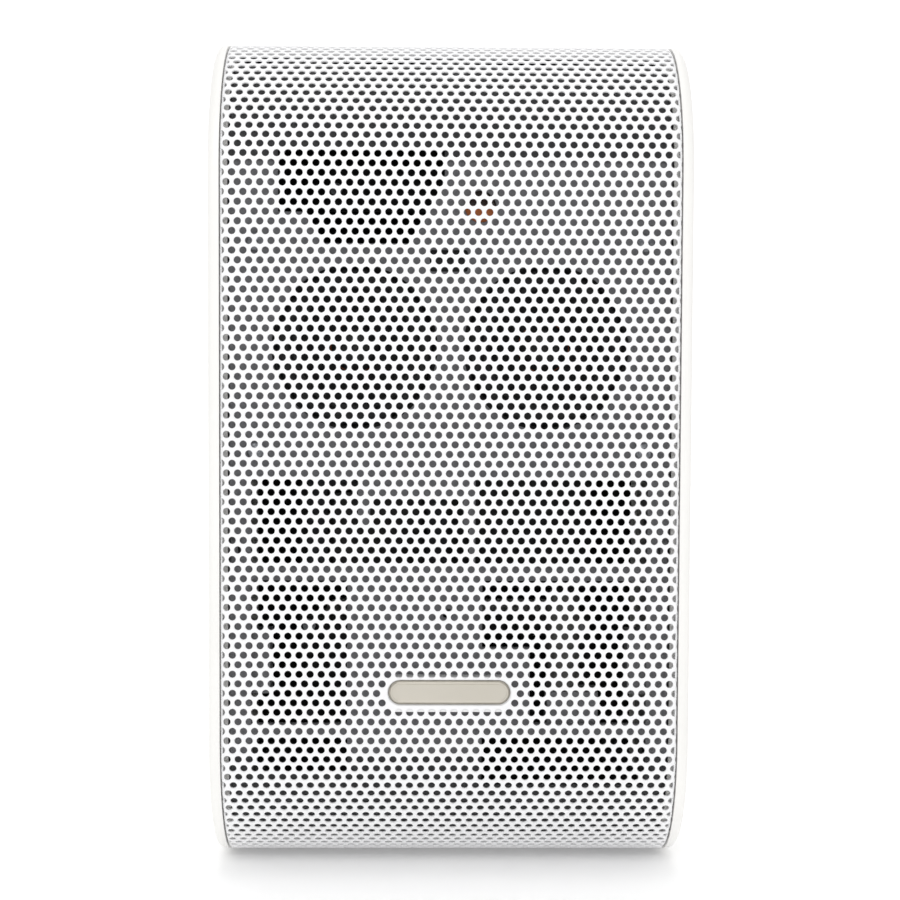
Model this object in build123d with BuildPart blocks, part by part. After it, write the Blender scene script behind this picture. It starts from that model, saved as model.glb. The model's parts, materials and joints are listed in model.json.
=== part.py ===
from build123d import *

import os

os.makedirs("parts", exist_ok=True)

# Tabletop smart speaker. Millimetres, +Z up, front towards -Y.
# The origin is on the resting surface, under the middle of the casing.

# ---------------------------------------------------------------- casing
width = 130.6
depth = 108.0
shell_height = 230.2
foot_height = 1.2
front_bend_radius = 38.2
rear_corner_radius = 16.0
cap_wall = 3.1
cap_edge_radius = 2.2
seam_gap = 0.3
sheet_thickness = 0.5
sheet_flange = 4.0
sheet_fold_radius = 0.9
sheet_return = 2.2
housing_wall = 2.2

z_bottom = foot_height
z_top = foot_height + shell_height
z_middle = (z_bottom + z_top) / 2
y_front = -depth / 2
y_rear = depth / 2
cap_inner_x = width / 2 - cap_wall
sheet_half_width = cap_inner_x - seam_gap
sheet_edge_y = y_front + front_bend_radius + sheet_return
housing_edge_y = sheet_edge_y + seam_gap
wall_inner_y = y_rear - housing_wall

# ---------------------------------------------------------------- chassis behind the sheet
chassis_setback = 5.0
chassis_wall = 2.2
chassis_side_gap = 1.6
chassis_side_wall = 2.0
cap_rib_wall = 1.6
cap_rib_gap = 0.4
cap_rib_end_gap = 0.5

ledge_drop = 29.5
ledge_width = 1.2
ledge_groove = 0.9

chassis_half_width = sheet_half_width - sheet_thickness - chassis_side_gap
chassis_face_y = y_front + chassis_setback
chassis_back_y = chassis_face_y + chassis_wall
chassis_rear_y = sheet_edge_y - sheet_return
chassis_inner_x = chassis_half_width - chassis_side_wall

# ---------------------------------------------------------------- drivers
driver_drop = 85.4
driver_spacing_gap = 1.2
flange_radius = 25.4
flange_thickness = 1.5
flange_ledge_width = 2.0
flange_ledge_depth = 0.9
flange_ring_width = 3.9
driver_window_radius = 22.5
gasket_thickness = 0.5
gasket_width = 2.0
recess_clearance = 0.3
baffle_thickness = 4.0
baffle_gap = 0.3
baffle_margin = 5.1
baffle_rim = 1.6
surround_roll_radius = 2.1
surround_skin = 0.5
surround_rim_gap = 0.2
cone_depth = 9.0
cone_skin = 0.5
cone_lip = 1.4
cone_bulge = 0.5
coil_radius = 6.5
coil_wall = 0.5
coil_length = 13.0
coil_clearance = 0.3
dust_cap_inset = 0.1
dust_cap_rise = 2.6
spider_drop = 12.1
spider_skin = 0.4
spider_lip = 2.0
basket_wall = 1.2
basket_depth = 16.0
basket_arms = 4
basket_opening_angle = 58
basket_rim = 2.0
basket_seat_margin = 1.0
basket_hole_radius = 10.0
spider_seat_radius = 15.5
spider_seat_thickness = 1.0
spider_fold_rise = 0.7
spider_folds = 10
spider_rim_gap = 0.35
plate_radius = 15.0
plate_thickness = 3.0
magnet_radius = 16.0
magnet_bore_radius = 9.5
magnet_thickness = 8.0
chamber_wall = 2.2
chamber_depth = 50.0
chamber_margin = 1.5

driver_height = z_top - driver_drop
driver_offset = flange_radius + driver_spacing_gap / 2
baffle_face_y = chassis_back_y + baffle_gap
baffle_rear_y = baffle_face_y + baffle_thickness
flange_face_y = baffle_face_y
flange_rear_y = flange_face_y + flange_thickness
flange_bore_radius = flange_radius - flange_ring_width
ledge_y = flange_face_y + flange_ledge_depth
ledge_radius = flange_bore_radius + flange_ledge_width
roll_centre_radius = flange_bore_radius - surround_roll_radius
cone_radius = roll_centre_radius - surround_roll_radius
spider_y = ledge_y + spider_drop
basket_rear_y = flange_rear_y + basket_depth
plate_rear_y = basket_rear_y + plate_thickness
magnet_rear_y = plate_rear_y + magnet_thickness
yoke_rear_y = magnet_rear_y + plate_thickness
coil_outer_radius = coil_radius + coil_wall
dust_cap_radius = coil_outer_radius - dust_cap_inset
baffle_half_width = driver_offset + flange_radius + baffle_margin
baffle_half_height = flange_radius + baffle_rim

# ---------------------------------------------------------------- chassis windows
side_window_x = 54.0
top_window_left = 46.7
top_window_right = 1.7
top_window_drop = 32.2
top_window_height = 25.2
top_slope_width = 8.8
top_slope_height = 15.6
top_notch_width = 6.4
top_notch_slope = 5.8
top_notch_height = 8.4
column_gap = 9.0
column_height = 23.8
column_left = 25.0
column_right = 7.0
middle_window_left = 21.7
middle_window_right = 3.7
middle_window_lip = 5.1
middle_window_step = 10.7
middle_step_width = 3.2
bar_height = 3.8
lower_column_left = 27.8
lower_column_right = 22.1
lower_step_left = 9.0
lower_step_height = 18.4
lower_bottom_rise = 41.8
small_hole_radius = 1.4
edge_notch_height = 8.0
edge_notch_width = 3.0
bottom_row_rise = 24.3
bottom_row_top_rise = 37.9
bottom_row_sill = 3.6
side_boss_x = 49.0
side_boss_height = 17.0
side_boss_rise = 58.3
side_boss_depth = 10.0

top_window_top = z_top - top_window_drop
top_window_bottom = top_window_top - top_window_height
column_top = driver_height - baffle_half_height - column_gap
column_bottom = column_top - column_height
lower_top = column_bottom - bar_height
lower_bottom = z_bottom + lower_bottom_rise
bottom_row_bottom = z_bottom + bottom_row_rise
bottom_row_top = z_bottom + bottom_row_top_rise
side_boss_z = z_bottom + side_boss_rise

# ---------------------------------------------------------------- fasteners
baffle_screw_x = 52.7
baffle_screw_rise = 28.2
baffle_screw_radius = 1.25
baffle_screw_head = 2.5
baffle_screw_head_height = 1.6
baffle_ear_radius = 4.4
baffle_pilot_gap = 0.05
cap_screw_radius = 1.05
cap_screw_head = 2.6
cap_screw_head_height = 1.8
cap_screw_length = 5.4
cap_screw_hole = 1.6
cap_pilot_radius = 1.1
cap_boss_radius = 3.2
cap_boss_gap = 0.2
cap_pilot_depth = 4.2
cap_screw_y = y_front + 26.0
cap_screw_z = [z_bottom + 28.8, z_bottom + 93.8, z_top - 66.4, z_top - 27.4]
post_x = 52.0
post_inset = 19.0
post_radius = 3.6
post_end_y = y_rear - 28.0
post_pilot_radius = 1.25
post_pilot_depth = 16.0
tube_radius = 4.8
tube_bore_radius = 3.3
tube_floor = 2.0
tube_gap = 0.3
housing_screw_radius = 1.2
housing_screw_length = 14.0
housing_screw_head = 2.8
housing_screw_head_height = 2.0
housing_screw_hole = 1.6
screw_head_chamfer = 0.5
post_z = [z_bottom + post_inset, z_top - post_inset]

# ---------------------------------------------------------------- badge
badge_length = 33.0
badge_height = 6.5
badge_thickness = 1.8
badge_bevel = 0.6
badge_z = z_bottom + 51.3
badge_slot_gap = 0.35
holder_length = 34.0
holder_shoulder = 29.3
holder_height = 9.5
holder_drop = 0.6
holder_gap = 0.1

# ---------------------------------------------------------------- front lamp and microphones
lamp_x = 8.0
lamp_z = z_top - 47.4
lamp_radius = 4.3
lamp_fit = 0.2
lamp_flange_extra = 1.3
lamp_flange_thickness = 1.0
lamp_lens_rise = 0.8
lamp_board_gap = 4.2
lamp_board_width = 17.0
lamp_board_height = 10.0
lamp_post_radius = 1.4
lamp_post_x = 7.0
lamp_chip_width = 3.5
lamp_chip_height = 2.8
lamp_chip_rise = 1.9
slot_x = -0.5
slot_width = 10.3
slot_height = 5.9
slot_corner = 0.8
slot_z = z_top - 62.0
mic_board_width = 15.0
mic_board_height = 6.8
board_thickness = 1.6
mic_pocket_gap = 0.3

# ---------------------------------------------------------------- rear boards and sockets
panel_width = 72.0
panel_height = 36.0
panel_z = z_bottom + 42.8
panel_lip = 2.5
panel_thickness = 2.0
panel_corner = 4.0
socket_gap = 0.2
inlet_x = -20.0
inlet_width = 22.0
inlet_height = 13.5
inlet_lobe_radius = 4.6
inlet_pin_pitch = 8.6
inlet_pin_radius = 1.15
inlet_pin_length = 10.0
inlet_floor = 1.8
socket_length = 14.8
network_x = 6.0
network_width = 16.0
network_height = 13.4
network_cavity_width = 11.9
network_cavity_height = 8.2
network_cavity_depth = 12.0
aux_x = 24.0
aux_width = 9.0
aux_bore_radius = 1.8
aux_bore_length = 12.0
main_board_width = 92.0
main_board_height = 34.0
power_board_height = 42.0
board_bay_gap = 9.0
board_post_inset = 3.0
board_post_radius = 2.4
board_pilot_radius = 0.95
board_screw_radius = 0.9
board_screw_head = 2.0
board_screw_head_height = 1.4
board_screw_length = 6.0
heatsink_width = 32.0
heatsink_height = 22.0
heatsink_base = 3.0
heatsink_rise = 14.0
heatsink_fins = 8
heatsink_fin_wall = 1.4
radio_width = 20.0
radio_height = 16.0
radio_rise = 2.6
antenna_width = 34.0
antenna_depth = 9.0
antenna_thickness = 0.8
transformer_x = -21.0
core_width = 42.0
core_height = 35.0
core_depth = 20.0
core_yoke = 6.0
core_window = 9.0
winding_gap = 0.3
winding_build = 4.0
capacitor_radius = 4.7
capacitor_length = 27.6
capacitor_x = 31.6
capacitor_gap = 1.2
capacitor_shelf_left = 27.0
capacitor_shelf_right = 41.0
capacitor_shelf_rise = 50.2
capacitor_shelf_depth = 12.0
insert_radius = 4.0
insert_bore_radius = 2.6
insert_length = 10.0
insert_rise = 28.0
insert_set_in = 0.3
insert_boss_wall = 2.4

socket_front_y = wall_inner_y - socket_length
main_board_z = panel_z
power_board_z = main_board_z + (main_board_height + power_board_height) / 2 + board_bay_gap

# ---------------------------------------------------------------- rear buttons
button_radius = 4.8
button_gap = 0.4
button_pitch = 16.0
button_z = z_top - 35.4
button_set_in = 0.3
button_flange_extra = 1.5
button_flange_thickness = 1.3
button_rest_gap = 0.3
button_plunger_radius = 1.5
switch_size = 6.0
switch_height = 4.0
switch_well_radius = 1.9
switch_well_depth = 2.2
switch_overlap = 0.4
button_plunger_length = 2.4
button_board_width = 76.0
button_board_height = 14.0

button_flange_y = wall_inner_y - button_rest_gap
button_plunger_y = button_flange_y - button_flange_thickness - button_plunger_length
switch_rear_y = button_plunger_y + switch_overlap
button_board_y = switch_rear_y - switch_height
button_names = ["power_button", "mute_button", "volume_down_button", "volume_up_button"]
button_x = [(i - (len(button_names) - 1) / 2) * button_pitch for i in range(len(button_names))]

# ---------------------------------------------------------------- vents and feet
vent_width = 40.0
vent_height = 2.4
vent_pitch = 5.0
vent_count = 7
vent_z = power_board_z + 4.0
foot_radius = 6.0
foot_x = 46.0
foot_front_set = 6.3
foot_rear_set = 22.0
foot_edge_radius = 0.4


def finish(builder, label):
    """Name a finished piece and write it."""
    builder.part.label = label
    export_step(builder.part, f"parts/{label}.step")


def facing(y):
    """Plane across the casing at depth y, seen from the front: extrude goes towards the front."""
    return Plane.XZ.offset(-y)


def side_outline(inset):
    """Side view of the casing, this far inside its outer surface."""
    with BuildSketch(mode=Mode.PRIVATE) as outline:
        with Locations((0, z_middle)):
            Rectangle(depth - 2 * inset, shell_height - 2 * inset)
        fillet(outline.vertices().group_by(Axis.X)[0], front_bend_radius - inset)
        fillet(outline.vertices().group_by(Axis.X)[-1], rear_corner_radius - inset)
    return outline.sketch


def side_block(inset, y_from, y_to):
    """Side view of the casing at an inset, kept from one depth to another."""
    with BuildSketch(mode=Mode.PRIVATE) as block:
        add(side_outline(inset))
        with Locations(((y_from + y_to) / 2, z_middle)):
            Rectangle(y_to - y_from, shell_height + depth, mode=Mode.INTERSECT)
    return block.sketch


def side_band(outer_inset, inner_inset, y_from, y_to):
    """Strip of the side view between two insets, kept from one depth to another."""
    with BuildSketch(mode=Mode.PRIVATE) as band:
        add(side_block(outer_inset, y_from, y_to))
        add(side_outline(inner_inset), mode=Mode.SUBTRACT)
    return band.sketch


def window(x_from, x_to, z_from, z_to):
    """Rectangle between two sides and two heights, on a plane across the casing."""
    with Locations(((x_from + x_to) / 2, (z_from + z_to) / 2)):
        Rectangle(x_to - x_from, z_to - z_from)


def corner_places(across, high, middle_z):
    """Four points of a rectangle centred on the casing's middle plane."""
    return [(side * across, middle_z + rise * high) for side in (-1, 1) for rise in (-1, 1)]


y_ahead = y_front - depth
y_behind = y_rear + depth
cap_screw_places = [(cap_screw_y, z) for z in cap_screw_z]
rear_screw_places = [(side * post_x, z) for side in (-1, 1) for z in post_z]
board_post_x = main_board_width / 2 - board_post_inset
main_post_places = corner_places(board_post_x, main_board_height / 2 - board_post_inset, main_board_z)
power_post_places = corner_places(board_post_x, power_board_height / 2 - board_post_inset, power_board_z)
board_post_places = main_post_places + power_post_places
button_post_places = [(side * (button_board_width / 2 - board_post_inset), button_z) for side in (-1, 1)]
button_places = [(x, button_z) for x in button_x]
baffle_screw_places = corner_places(baffle_screw_x, baffle_screw_rise, driver_height)
driver_places = [(side * driver_offset, driver_height) for side in (-1, 1)]
lamp_post_places = [(lamp_x + side * lamp_post_x, lamp_z) for side in (-1, 1)]
insert_z = power_board_z + power_board_height / 2 + insert_rise
screw_seat_y = post_end_y + tube_gap + tube_floor


# ---------------------------------------------------------------- perforated front sheet
# The holes are left out of the solid: it is the sheet's outer skin with folded side edges.
with BuildPart() as grille_sheet:
    with BuildSketch(Plane.YZ):
        add(side_block(0, y_ahead, sheet_edge_y))
    extrude(amount=sheet_half_width, both=True)
    end_edges = grille_sheet.edges().group_by(Axis.X)
    fold_edges = (end_edges[0] + end_edges[-1]).filter_by(
        lambda edge: edge.center().Y < sheet_edge_y - sheet_thickness
    )
    fillet(fold_edges, sheet_fold_radius)
    with BuildSketch(Plane.YZ):
        add(side_block(sheet_thickness, y_ahead, sheet_edge_y))
    extrude(amount=sheet_half_width - sheet_thickness, both=True, mode=Mode.SUBTRACT)
    with BuildSketch(Plane.YZ):
        add(side_block(sheet_flange, y_ahead, sheet_edge_y))
    extrude(amount=sheet_half_width, both=True, mode=Mode.SUBTRACT)
    with BuildSketch(facing(y_front + sheet_flange)):
        with Locations((0, badge_z)):
            SlotOverall(badge_length + 2 * badge_slot_gap, badge_height + 2 * badge_slot_gap)
    extrude(amount=sheet_flange + 1, mode=Mode.SUBTRACT)
finish(grille_sheet, "grille_sheet")


# ---------------------------------------------------------------- end caps and their screws
def build_end_cap(side):
    """Moulded end plate with a rounded rim, a locating rib and bosses for its screws."""
    rib_inset = sheet_flange + cap_rib_gap
    with BuildPart() as end_cap:
        with BuildSketch(Plane.YZ.offset(side * cap_inner_x)):
            add(side_outline(0))
        extrude(amount=side * cap_wall)
        fillet(end_cap.edges().group_by(Axis.X)[-1 if side > 0 else 0], cap_edge_radius)
        with BuildSketch(Plane.YZ.offset(side * cap_inner_x)):
            add(side_band(rib_inset, rib_inset + cap_rib_wall, y_ahead, y_behind))
        extrude(amount=-side * (cap_inner_x - chassis_half_width - cap_rib_end_gap))
        with BuildSketch(Plane.YZ.offset(side * cap_inner_x)):
            with Locations(cap_screw_places):
                Circle(cap_boss_radius)
        extrude(amount=-side * (cap_inner_x - chassis_half_width - cap_boss_gap))
        with BuildSketch(Plane.YZ.offset(side * chassis_half_width)):
            with Locations(cap_screw_places):
                Circle(cap_pilot_radius)
        extrude(amount=side * cap_pilot_depth, mode=Mode.SUBTRACT)
    return end_cap


finish(build_end_cap(-1), "left_end_cap")
finish(build_end_cap(1), "right_end_cap")

with BuildPart() as cap_screws:
    for side in (-1, 1):
        with BuildSketch(Plane.YZ.offset(side * chassis_inner_x)):
            with Locations(cap_screw_places):
                Circle(cap_screw_head)
        extrude(amount=-side * cap_screw_head_height)
        with BuildSketch(Plane.YZ.offset(side * chassis_inner_x)):
            with Locations(cap_screw_places):
                Circle(cap_screw_radius)
        extrude(amount=side * cap_screw_length)
finish(cap_screws, "cap_screws")


# ---------------------------------------------------------------- rear housing and its screws
with BuildPart() as rear_housing:
    with BuildSketch(Plane.YZ):
        add(side_band(0, housing_wall, housing_edge_y, y_behind))
    extrude(amount=sheet_half_width, both=True)
    # tubes that sink the screws, and posts for the boards
    with BuildSketch(facing(wall_inner_y)):
        with Locations(rear_screw_places):
            Circle(tube_radius)
    extrude(amount=wall_inner_y - post_end_y - tube_gap)
    with BuildSketch(facing(wall_inner_y)):
        with Locations(board_post_places):
            Circle(board_post_radius)
    extrude(amount=socket_length)
    with BuildSketch(facing(wall_inner_y)):
        with Locations(button_post_places):
            Circle(board_post_radius)
    extrude(amount=wall_inner_y - button_board_y)
    with BuildSketch(facing(wall_inner_y)):
        with Locations((0, insert_z)):
            Circle(insert_radius + insert_boss_wall)
    extrude(amount=insert_length - housing_wall + insert_boss_wall)
    # bores
    with BuildSketch(facing(y_rear)):
        with Locations(rear_screw_places):
            Circle(tube_bore_radius)
    extrude(amount=y_rear - screw_seat_y, mode=Mode.SUBTRACT)
    with BuildSketch(facing(y_rear)):
        with Locations(rear_screw_places):
            Circle(housing_screw_hole)
    extrude(amount=y_rear - post_end_y, mode=Mode.SUBTRACT)
    with BuildSketch(facing(socket_front_y)):
        with Locations(board_post_places):
            Circle(board_pilot_radius)
    extrude(amount=-board_screw_length, mode=Mode.SUBTRACT)
    with BuildSketch(facing(button_board_y)):
        with Locations(button_post_places):
            Circle(board_pilot_radius)
    extrude(amount=-board_screw_length, mode=Mode.SUBTRACT)
    with BuildSketch(facing(y_rear)):
        with Locations((0, insert_z)):
            Circle(insert_radius)
    extrude(amount=insert_length, mode=Mode.SUBTRACT)
    # openings in the rear wall
    with BuildSketch(facing(y_rear + 1)):
        with Locations((0, panel_z)):
            RectangleRounded(panel_width, panel_height, panel_corner)
        with Locations(button_places):
            Circle(button_radius + button_gap)
        with Locations((0, vent_z)):
            with GridLocations(0, vent_pitch, 1, vent_count):
                SlotOverall(vent_width, vent_height)
    extrude(amount=housing_wall + 1, mode=Mode.SUBTRACT)
finish(rear_housing, "rear_housing")

with BuildPart() as housing_screws:
    with BuildSketch(facing(screw_seat_y)):
        with Locations(rear_screw_places):
            Circle(housing_screw_head)
    extrude(amount=-housing_screw_head_height)
    chamfer(housing_screws.edges().group_by(Axis.Y)[-1], screw_head_chamfer)
    with BuildSketch(facing(screw_seat_y)):
        with Locations(rear_screw_places):
            Circle(housing_screw_radius)
    extrude(amount=housing_screw_length)
finish(housing_screws, "housing_screws")

with BuildPart() as bracket_insert:
    with BuildSketch(facing(y_rear - insert_set_in)):
        with Locations((0, insert_z)):
            Circle(insert_radius)
            Circle(insert_bore_radius, mode=Mode.SUBTRACT)
    extrude(amount=insert_length - insert_set_in)
finish(bracket_insert, "bracket_insert")


# ---------------------------------------------------------------- chassis behind the sheet
with BuildPart() as front_chassis:
    with BuildSketch(Plane.YZ):
        add(side_band(chassis_setback, chassis_setback + chassis_wall, y_ahead, chassis_rear_y))
    extrude(amount=chassis_half_width, both=True)
    for side in (-1, 1):
        with BuildSketch(Plane.YZ.offset(side * chassis_inner_x)):
            add(side_block(chassis_setback, y_ahead, chassis_rear_y))
        extrude(amount=side * chassis_side_wall)
    # ledge line across the upper bend
    with BuildSketch(facing(chassis_face_y + chassis_wall)):
        with Locations((0, z_top - ledge_drop)):
            Rectangle(width, ledge_width)
    extrude(amount=chassis_wall - ledge_groove / 2, mode=Mode.SUBTRACT)
    with BuildSketch(facing(chassis_back_y + side_boss_depth / 2)):
        # upper window, with two sloped lower corners
        with BuildLine():
            Polyline(
                (-top_window_left, top_window_top),
                (-top_window_right, top_window_top),
                (-top_window_right, top_window_bottom + top_slope_height),
                (-top_window_right - top_slope_width, top_window_bottom),
                (-top_window_left + top_notch_width + top_notch_slope, top_window_bottom),
                (-top_window_left + top_notch_width, top_window_bottom + top_notch_height),
                (-top_window_left, top_window_bottom + top_notch_height),
                close=True,
            )
        make_face()
        with Locations(driver_places):
            Circle(driver_window_radius)
        with Locations((lamp_x, lamp_z)):
            Circle(lamp_radius)
        with Locations((slot_x, slot_z)):
            RectangleRounded(slot_width, slot_height, slot_corner)
        with Locations(baffle_screw_places):
            Circle(housing_screw_hole)
        # row under the drivers
        window(-side_window_x, -column_left, column_bottom, column_top)
        window(column_right, side_window_x, column_bottom, column_top)
        step_top = column_bottom + middle_window_step
        window(-middle_window_left, middle_window_right, step_top, column_top - middle_window_lip)
        window(-column_left, middle_window_right + middle_step_width / 2, column_bottom, step_top)
        # long row above the foot
        window(-side_window_x, -lower_column_left, lower_bottom, lower_top)
        window(lower_column_right, side_window_x, lower_bottom, lower_top)
        window(lower_step_left, lower_column_right, lower_top - lower_step_height, lower_top)
        with Locations((slot_x, lower_top - lower_step_left)):
            Circle(small_hole_radius)
        # low row on the bend
        window(-side_window_x, -lower_column_left, bottom_row_bottom + bottom_row_sill, bottom_row_top)
        window(lower_step_left, side_window_x, bottom_row_bottom, bottom_row_top)
    extrude(amount=chassis_wall + side_boss_depth, mode=Mode.SUBTRACT)
    # notches at both side edges
    with BuildSketch(facing(chassis_back_y)):
        for side in (-1, 1):
            notch_x = side * (chassis_half_width - edge_notch_width / 2)
            with Locations((notch_x, column_bottom + edge_notch_height / 2)):
                Rectangle(edge_notch_width, edge_notch_height)
    extrude(amount=chassis_wall + 1, mode=Mode.SUBTRACT)
    # blocks inside the side walls, the capacitor's shelf and the lamp board's posts
    for side in (-1, 1):
        with BuildSketch(facing(chassis_back_y + side_boss_depth)):
            with Locations((side * (side_boss_x + chassis_inner_x) / 2, side_boss_z)):
                Rectangle(chassis_inner_x - side_boss_x, side_boss_height)
        extrude(amount=side_boss_depth)
    with BuildSketch(facing(chassis_back_y + capacitor_shelf_depth)):
        shelf_top = z_bottom + capacitor_shelf_rise
        window(capacitor_shelf_left, capacitor_shelf_right, lower_bottom - bar_height, shelf_top)
    extrude(amount=capacitor_shelf_depth)
    with BuildSketch(facing(chassis_back_y + lamp_board_gap)):
        with Locations(lamp_post_places):
            Circle(lamp_post_radius)
    extrude(amount=lamp_board_gap)
    # posts for the rear housing, trimmed to the chassis's outer surface
    with BuildSketch(facing(post_end_y)):
        with Locations(rear_screw_places):
            Circle(post_radius)
    extrude(amount=post_end_y - chassis_face_y)
    with BuildSketch(Plane.YZ):
        add(side_band(-depth / 4, chassis_setback, y_ahead, chassis_rear_y))
    extrude(amount=width, both=True, mode=Mode.SUBTRACT)
    with BuildSketch(facing(post_end_y)):
        with Locations(rear_screw_places):
            Circle(post_pilot_radius)
    extrude(amount=post_pilot_depth, mode=Mode.SUBTRACT)
    with BuildSketch(Plane.YZ):
        with Locations(cap_screw_places):
            Circle(cap_screw_hole)
    extrude(amount=width, both=True, mode=Mode.SUBTRACT)
finish(front_chassis, "front_chassis")


# ---------------------------------------------------------------- badge
with BuildPart() as badge_plate:
    with BuildSketch(facing(y_front + badge_thickness)):
        with Locations((0, badge_z)):
            SlotOverall(badge_length, badge_height)
    extrude(amount=badge_thickness)
    chamfer(badge_plate.faces().sort_by(Axis.Y)[0].edges(), badge_bevel)
finish(badge_plate, "badge_plate")

with BuildPart() as badge_holder:
    with BuildSketch(facing(chassis_face_y)):
        with Locations((0, badge_z)):
            SlotOverall(holder_length, badge_height + 2 * badge_slot_gap)
        with Locations((0, badge_z - holder_drop)):
            Rectangle(holder_shoulder, holder_height)
    extrude(amount=chassis_setback - sheet_thickness - holder_gap)
    with BuildSketch(facing(y_front + badge_thickness)):
        with Locations((0, badge_z)):
            SlotOverall(badge_length + 2 * holder_gap, badge_height + 2 * holder_gap)
    extrude(amount=badge_thickness, mode=Mode.SUBTRACT)
finish(badge_holder, "badge_holder")


# ---------------------------------------------------------------- front lamp and microphone board
with BuildPart() as lamp_lens:
    with BuildSketch(facing(chassis_back_y + lamp_flange_thickness)):
        with Locations((lamp_x, lamp_z)):
            Circle(lamp_radius + lamp_flange_extra)
    extrude(amount=lamp_flange_thickness)
    with BuildSketch(facing(chassis_back_y)):
        with Locations((lamp_x, lamp_z)):
            Circle(lamp_radius - lamp_fit)
    extrude(amount=lamp_lens_rise)
finish(lamp_lens, "lamp_lens")

lamp_board_y = chassis_back_y + lamp_board_gap
with BuildPart() as lamp_board:
    with BuildSketch(facing(lamp_board_y + board_thickness)):
        with Locations((lamp_x, lamp_z)):
            Rectangle(lamp_board_width, lamp_board_height)
    extrude(amount=board_thickness)
finish(lamp_board, "lamp_board")

with BuildPart() as lamp_chip:
    with BuildSketch(facing(lamp_board_y)):
        with Locations((lamp_x, lamp_z)):
            Rectangle(lamp_chip_width, lamp_chip_height)
    extrude(amount=lamp_chip_rise)
finish(lamp_chip, "lamp_chip")

with BuildPart() as microphone_board:
    with BuildSketch(facing(baffle_face_y + board_thickness)):
        with Locations((slot_x, slot_z)):
            Rectangle(mic_board_width, mic_board_height)
    extrude(amount=board_thickness)
finish(microphone_board, "microphone_board")


# ---------------------------------------------------------------- driver baffle and chamber
with BuildPart() as driver_baffle:
    with BuildSketch(facing(baffle_rear_y)):
        with Locations((0, driver_height)):
            Rectangle(2 * baffle_half_width, 2 * baffle_half_height)
        with Locations(baffle_screw_places):
            Circle(baffle_ear_radius)
    extrude(amount=baffle_thickness)
    with BuildSketch(facing(flange_rear_y + gasket_thickness)):
        with Locations(driver_places):
            Circle(flange_radius + recess_clearance)
    extrude(amount=baffle_thickness, mode=Mode.SUBTRACT)
    with BuildSketch(facing(baffle_rear_y)):
        with Locations(driver_places):
            Circle(flange_bore_radius + basket_wall + recess_clearance)
        with Locations(baffle_screw_places):
            Circle(baffle_screw_radius + baffle_pilot_gap)
    extrude(amount=baffle_thickness, mode=Mode.SUBTRACT)
    with BuildSketch(facing(baffle_face_y + board_thickness)):
        with Locations((slot_x, slot_z)):
            Rectangle(mic_board_width + 2 * mic_pocket_gap, mic_board_height + 2 * mic_pocket_gap)
    extrude(amount=board_thickness, mode=Mode.SUBTRACT)
finish(driver_baffle, "driver_baffle")

with BuildPart() as driver_chamber:
    chamber_width = 2 * (baffle_half_width - chamber_margin)
    chamber_height = 2 * (baffle_half_height - chamber_margin)
    with BuildSketch(facing(baffle_rear_y + chamber_depth)):
        with Locations((0, driver_height)):
            RectangleRounded(chamber_width, chamber_height, panel_corner)
    extrude(amount=chamber_depth)
    with BuildSketch(facing(baffle_rear_y + chamber_depth - chamber_wall)):
        with Locations((0, driver_height)):
            RectangleRounded(
                chamber_width - 2 * chamber_wall,
                chamber_height - 2 * chamber_wall,
                panel_corner - chamber_wall,
            )
    extrude(amount=chamber_depth, mode=Mode.SUBTRACT)
finish(driver_chamber, "driver_chamber")

with BuildPart() as baffle_screws:
    with BuildSketch(facing(chassis_face_y)):
        with Locations(baffle_screw_places):
            Circle(baffle_screw_head)
    extrude(amount=baffle_screw_head_height)
    chamfer(baffle_screws.edges().group_by(Axis.Y)[0], screw_head_chamfer)
    with BuildSketch(facing(chassis_face_y)):
        with Locations(baffle_screw_places):
            Circle(baffle_screw_radius)
    extrude(amount=chassis_face_y - baffle_rear_y)
finish(baffle_screws, "baffle_screws")

with BuildPart() as driver_gaskets:
    with BuildSketch(facing(flange_rear_y + gasket_thickness)):
        with Locations(driver_places):
            Circle(flange_radius)
            Circle(flange_radius - gasket_width, mode=Mode.SUBTRACT)
    extrude(amount=gasket_thickness)
finish(driver_gaskets, "driver_gaskets")


# ---------------------------------------------------------------- drivers, each turned about its own axis
def driver_section(side, turn=0):
    """Plane through a driver's axis: first coordinate is the radius, second is the depth."""
    origin = (side * driver_offset, 0, driver_height)
    across = Vector(1, 0, 0).rotate(Axis.Y, turn)
    return Plane(origin=origin, x_dir=across, z_dir=across.cross(Vector(0, 1, 0)))


def driver_axis(side):
    """The line that a driver's cone moves along."""
    return Axis((side * driver_offset, 0, driver_height), (0, 1, 0))


def ring(inner, outer, y_from, y_to):
    """Half section of a ring."""
    with Locations(((inner + outer) / 2, (y_from + y_to) / 2)):
        Rectangle(outer - inner, y_to - y_from)


def basket_radius(y):
    """Inner radius of the basket's tapered wall at a depth."""
    taper = flange_bore_radius - magnet_radius - basket_seat_margin
    return flange_bore_radius - taper * (y - flange_rear_y) / basket_depth


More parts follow.
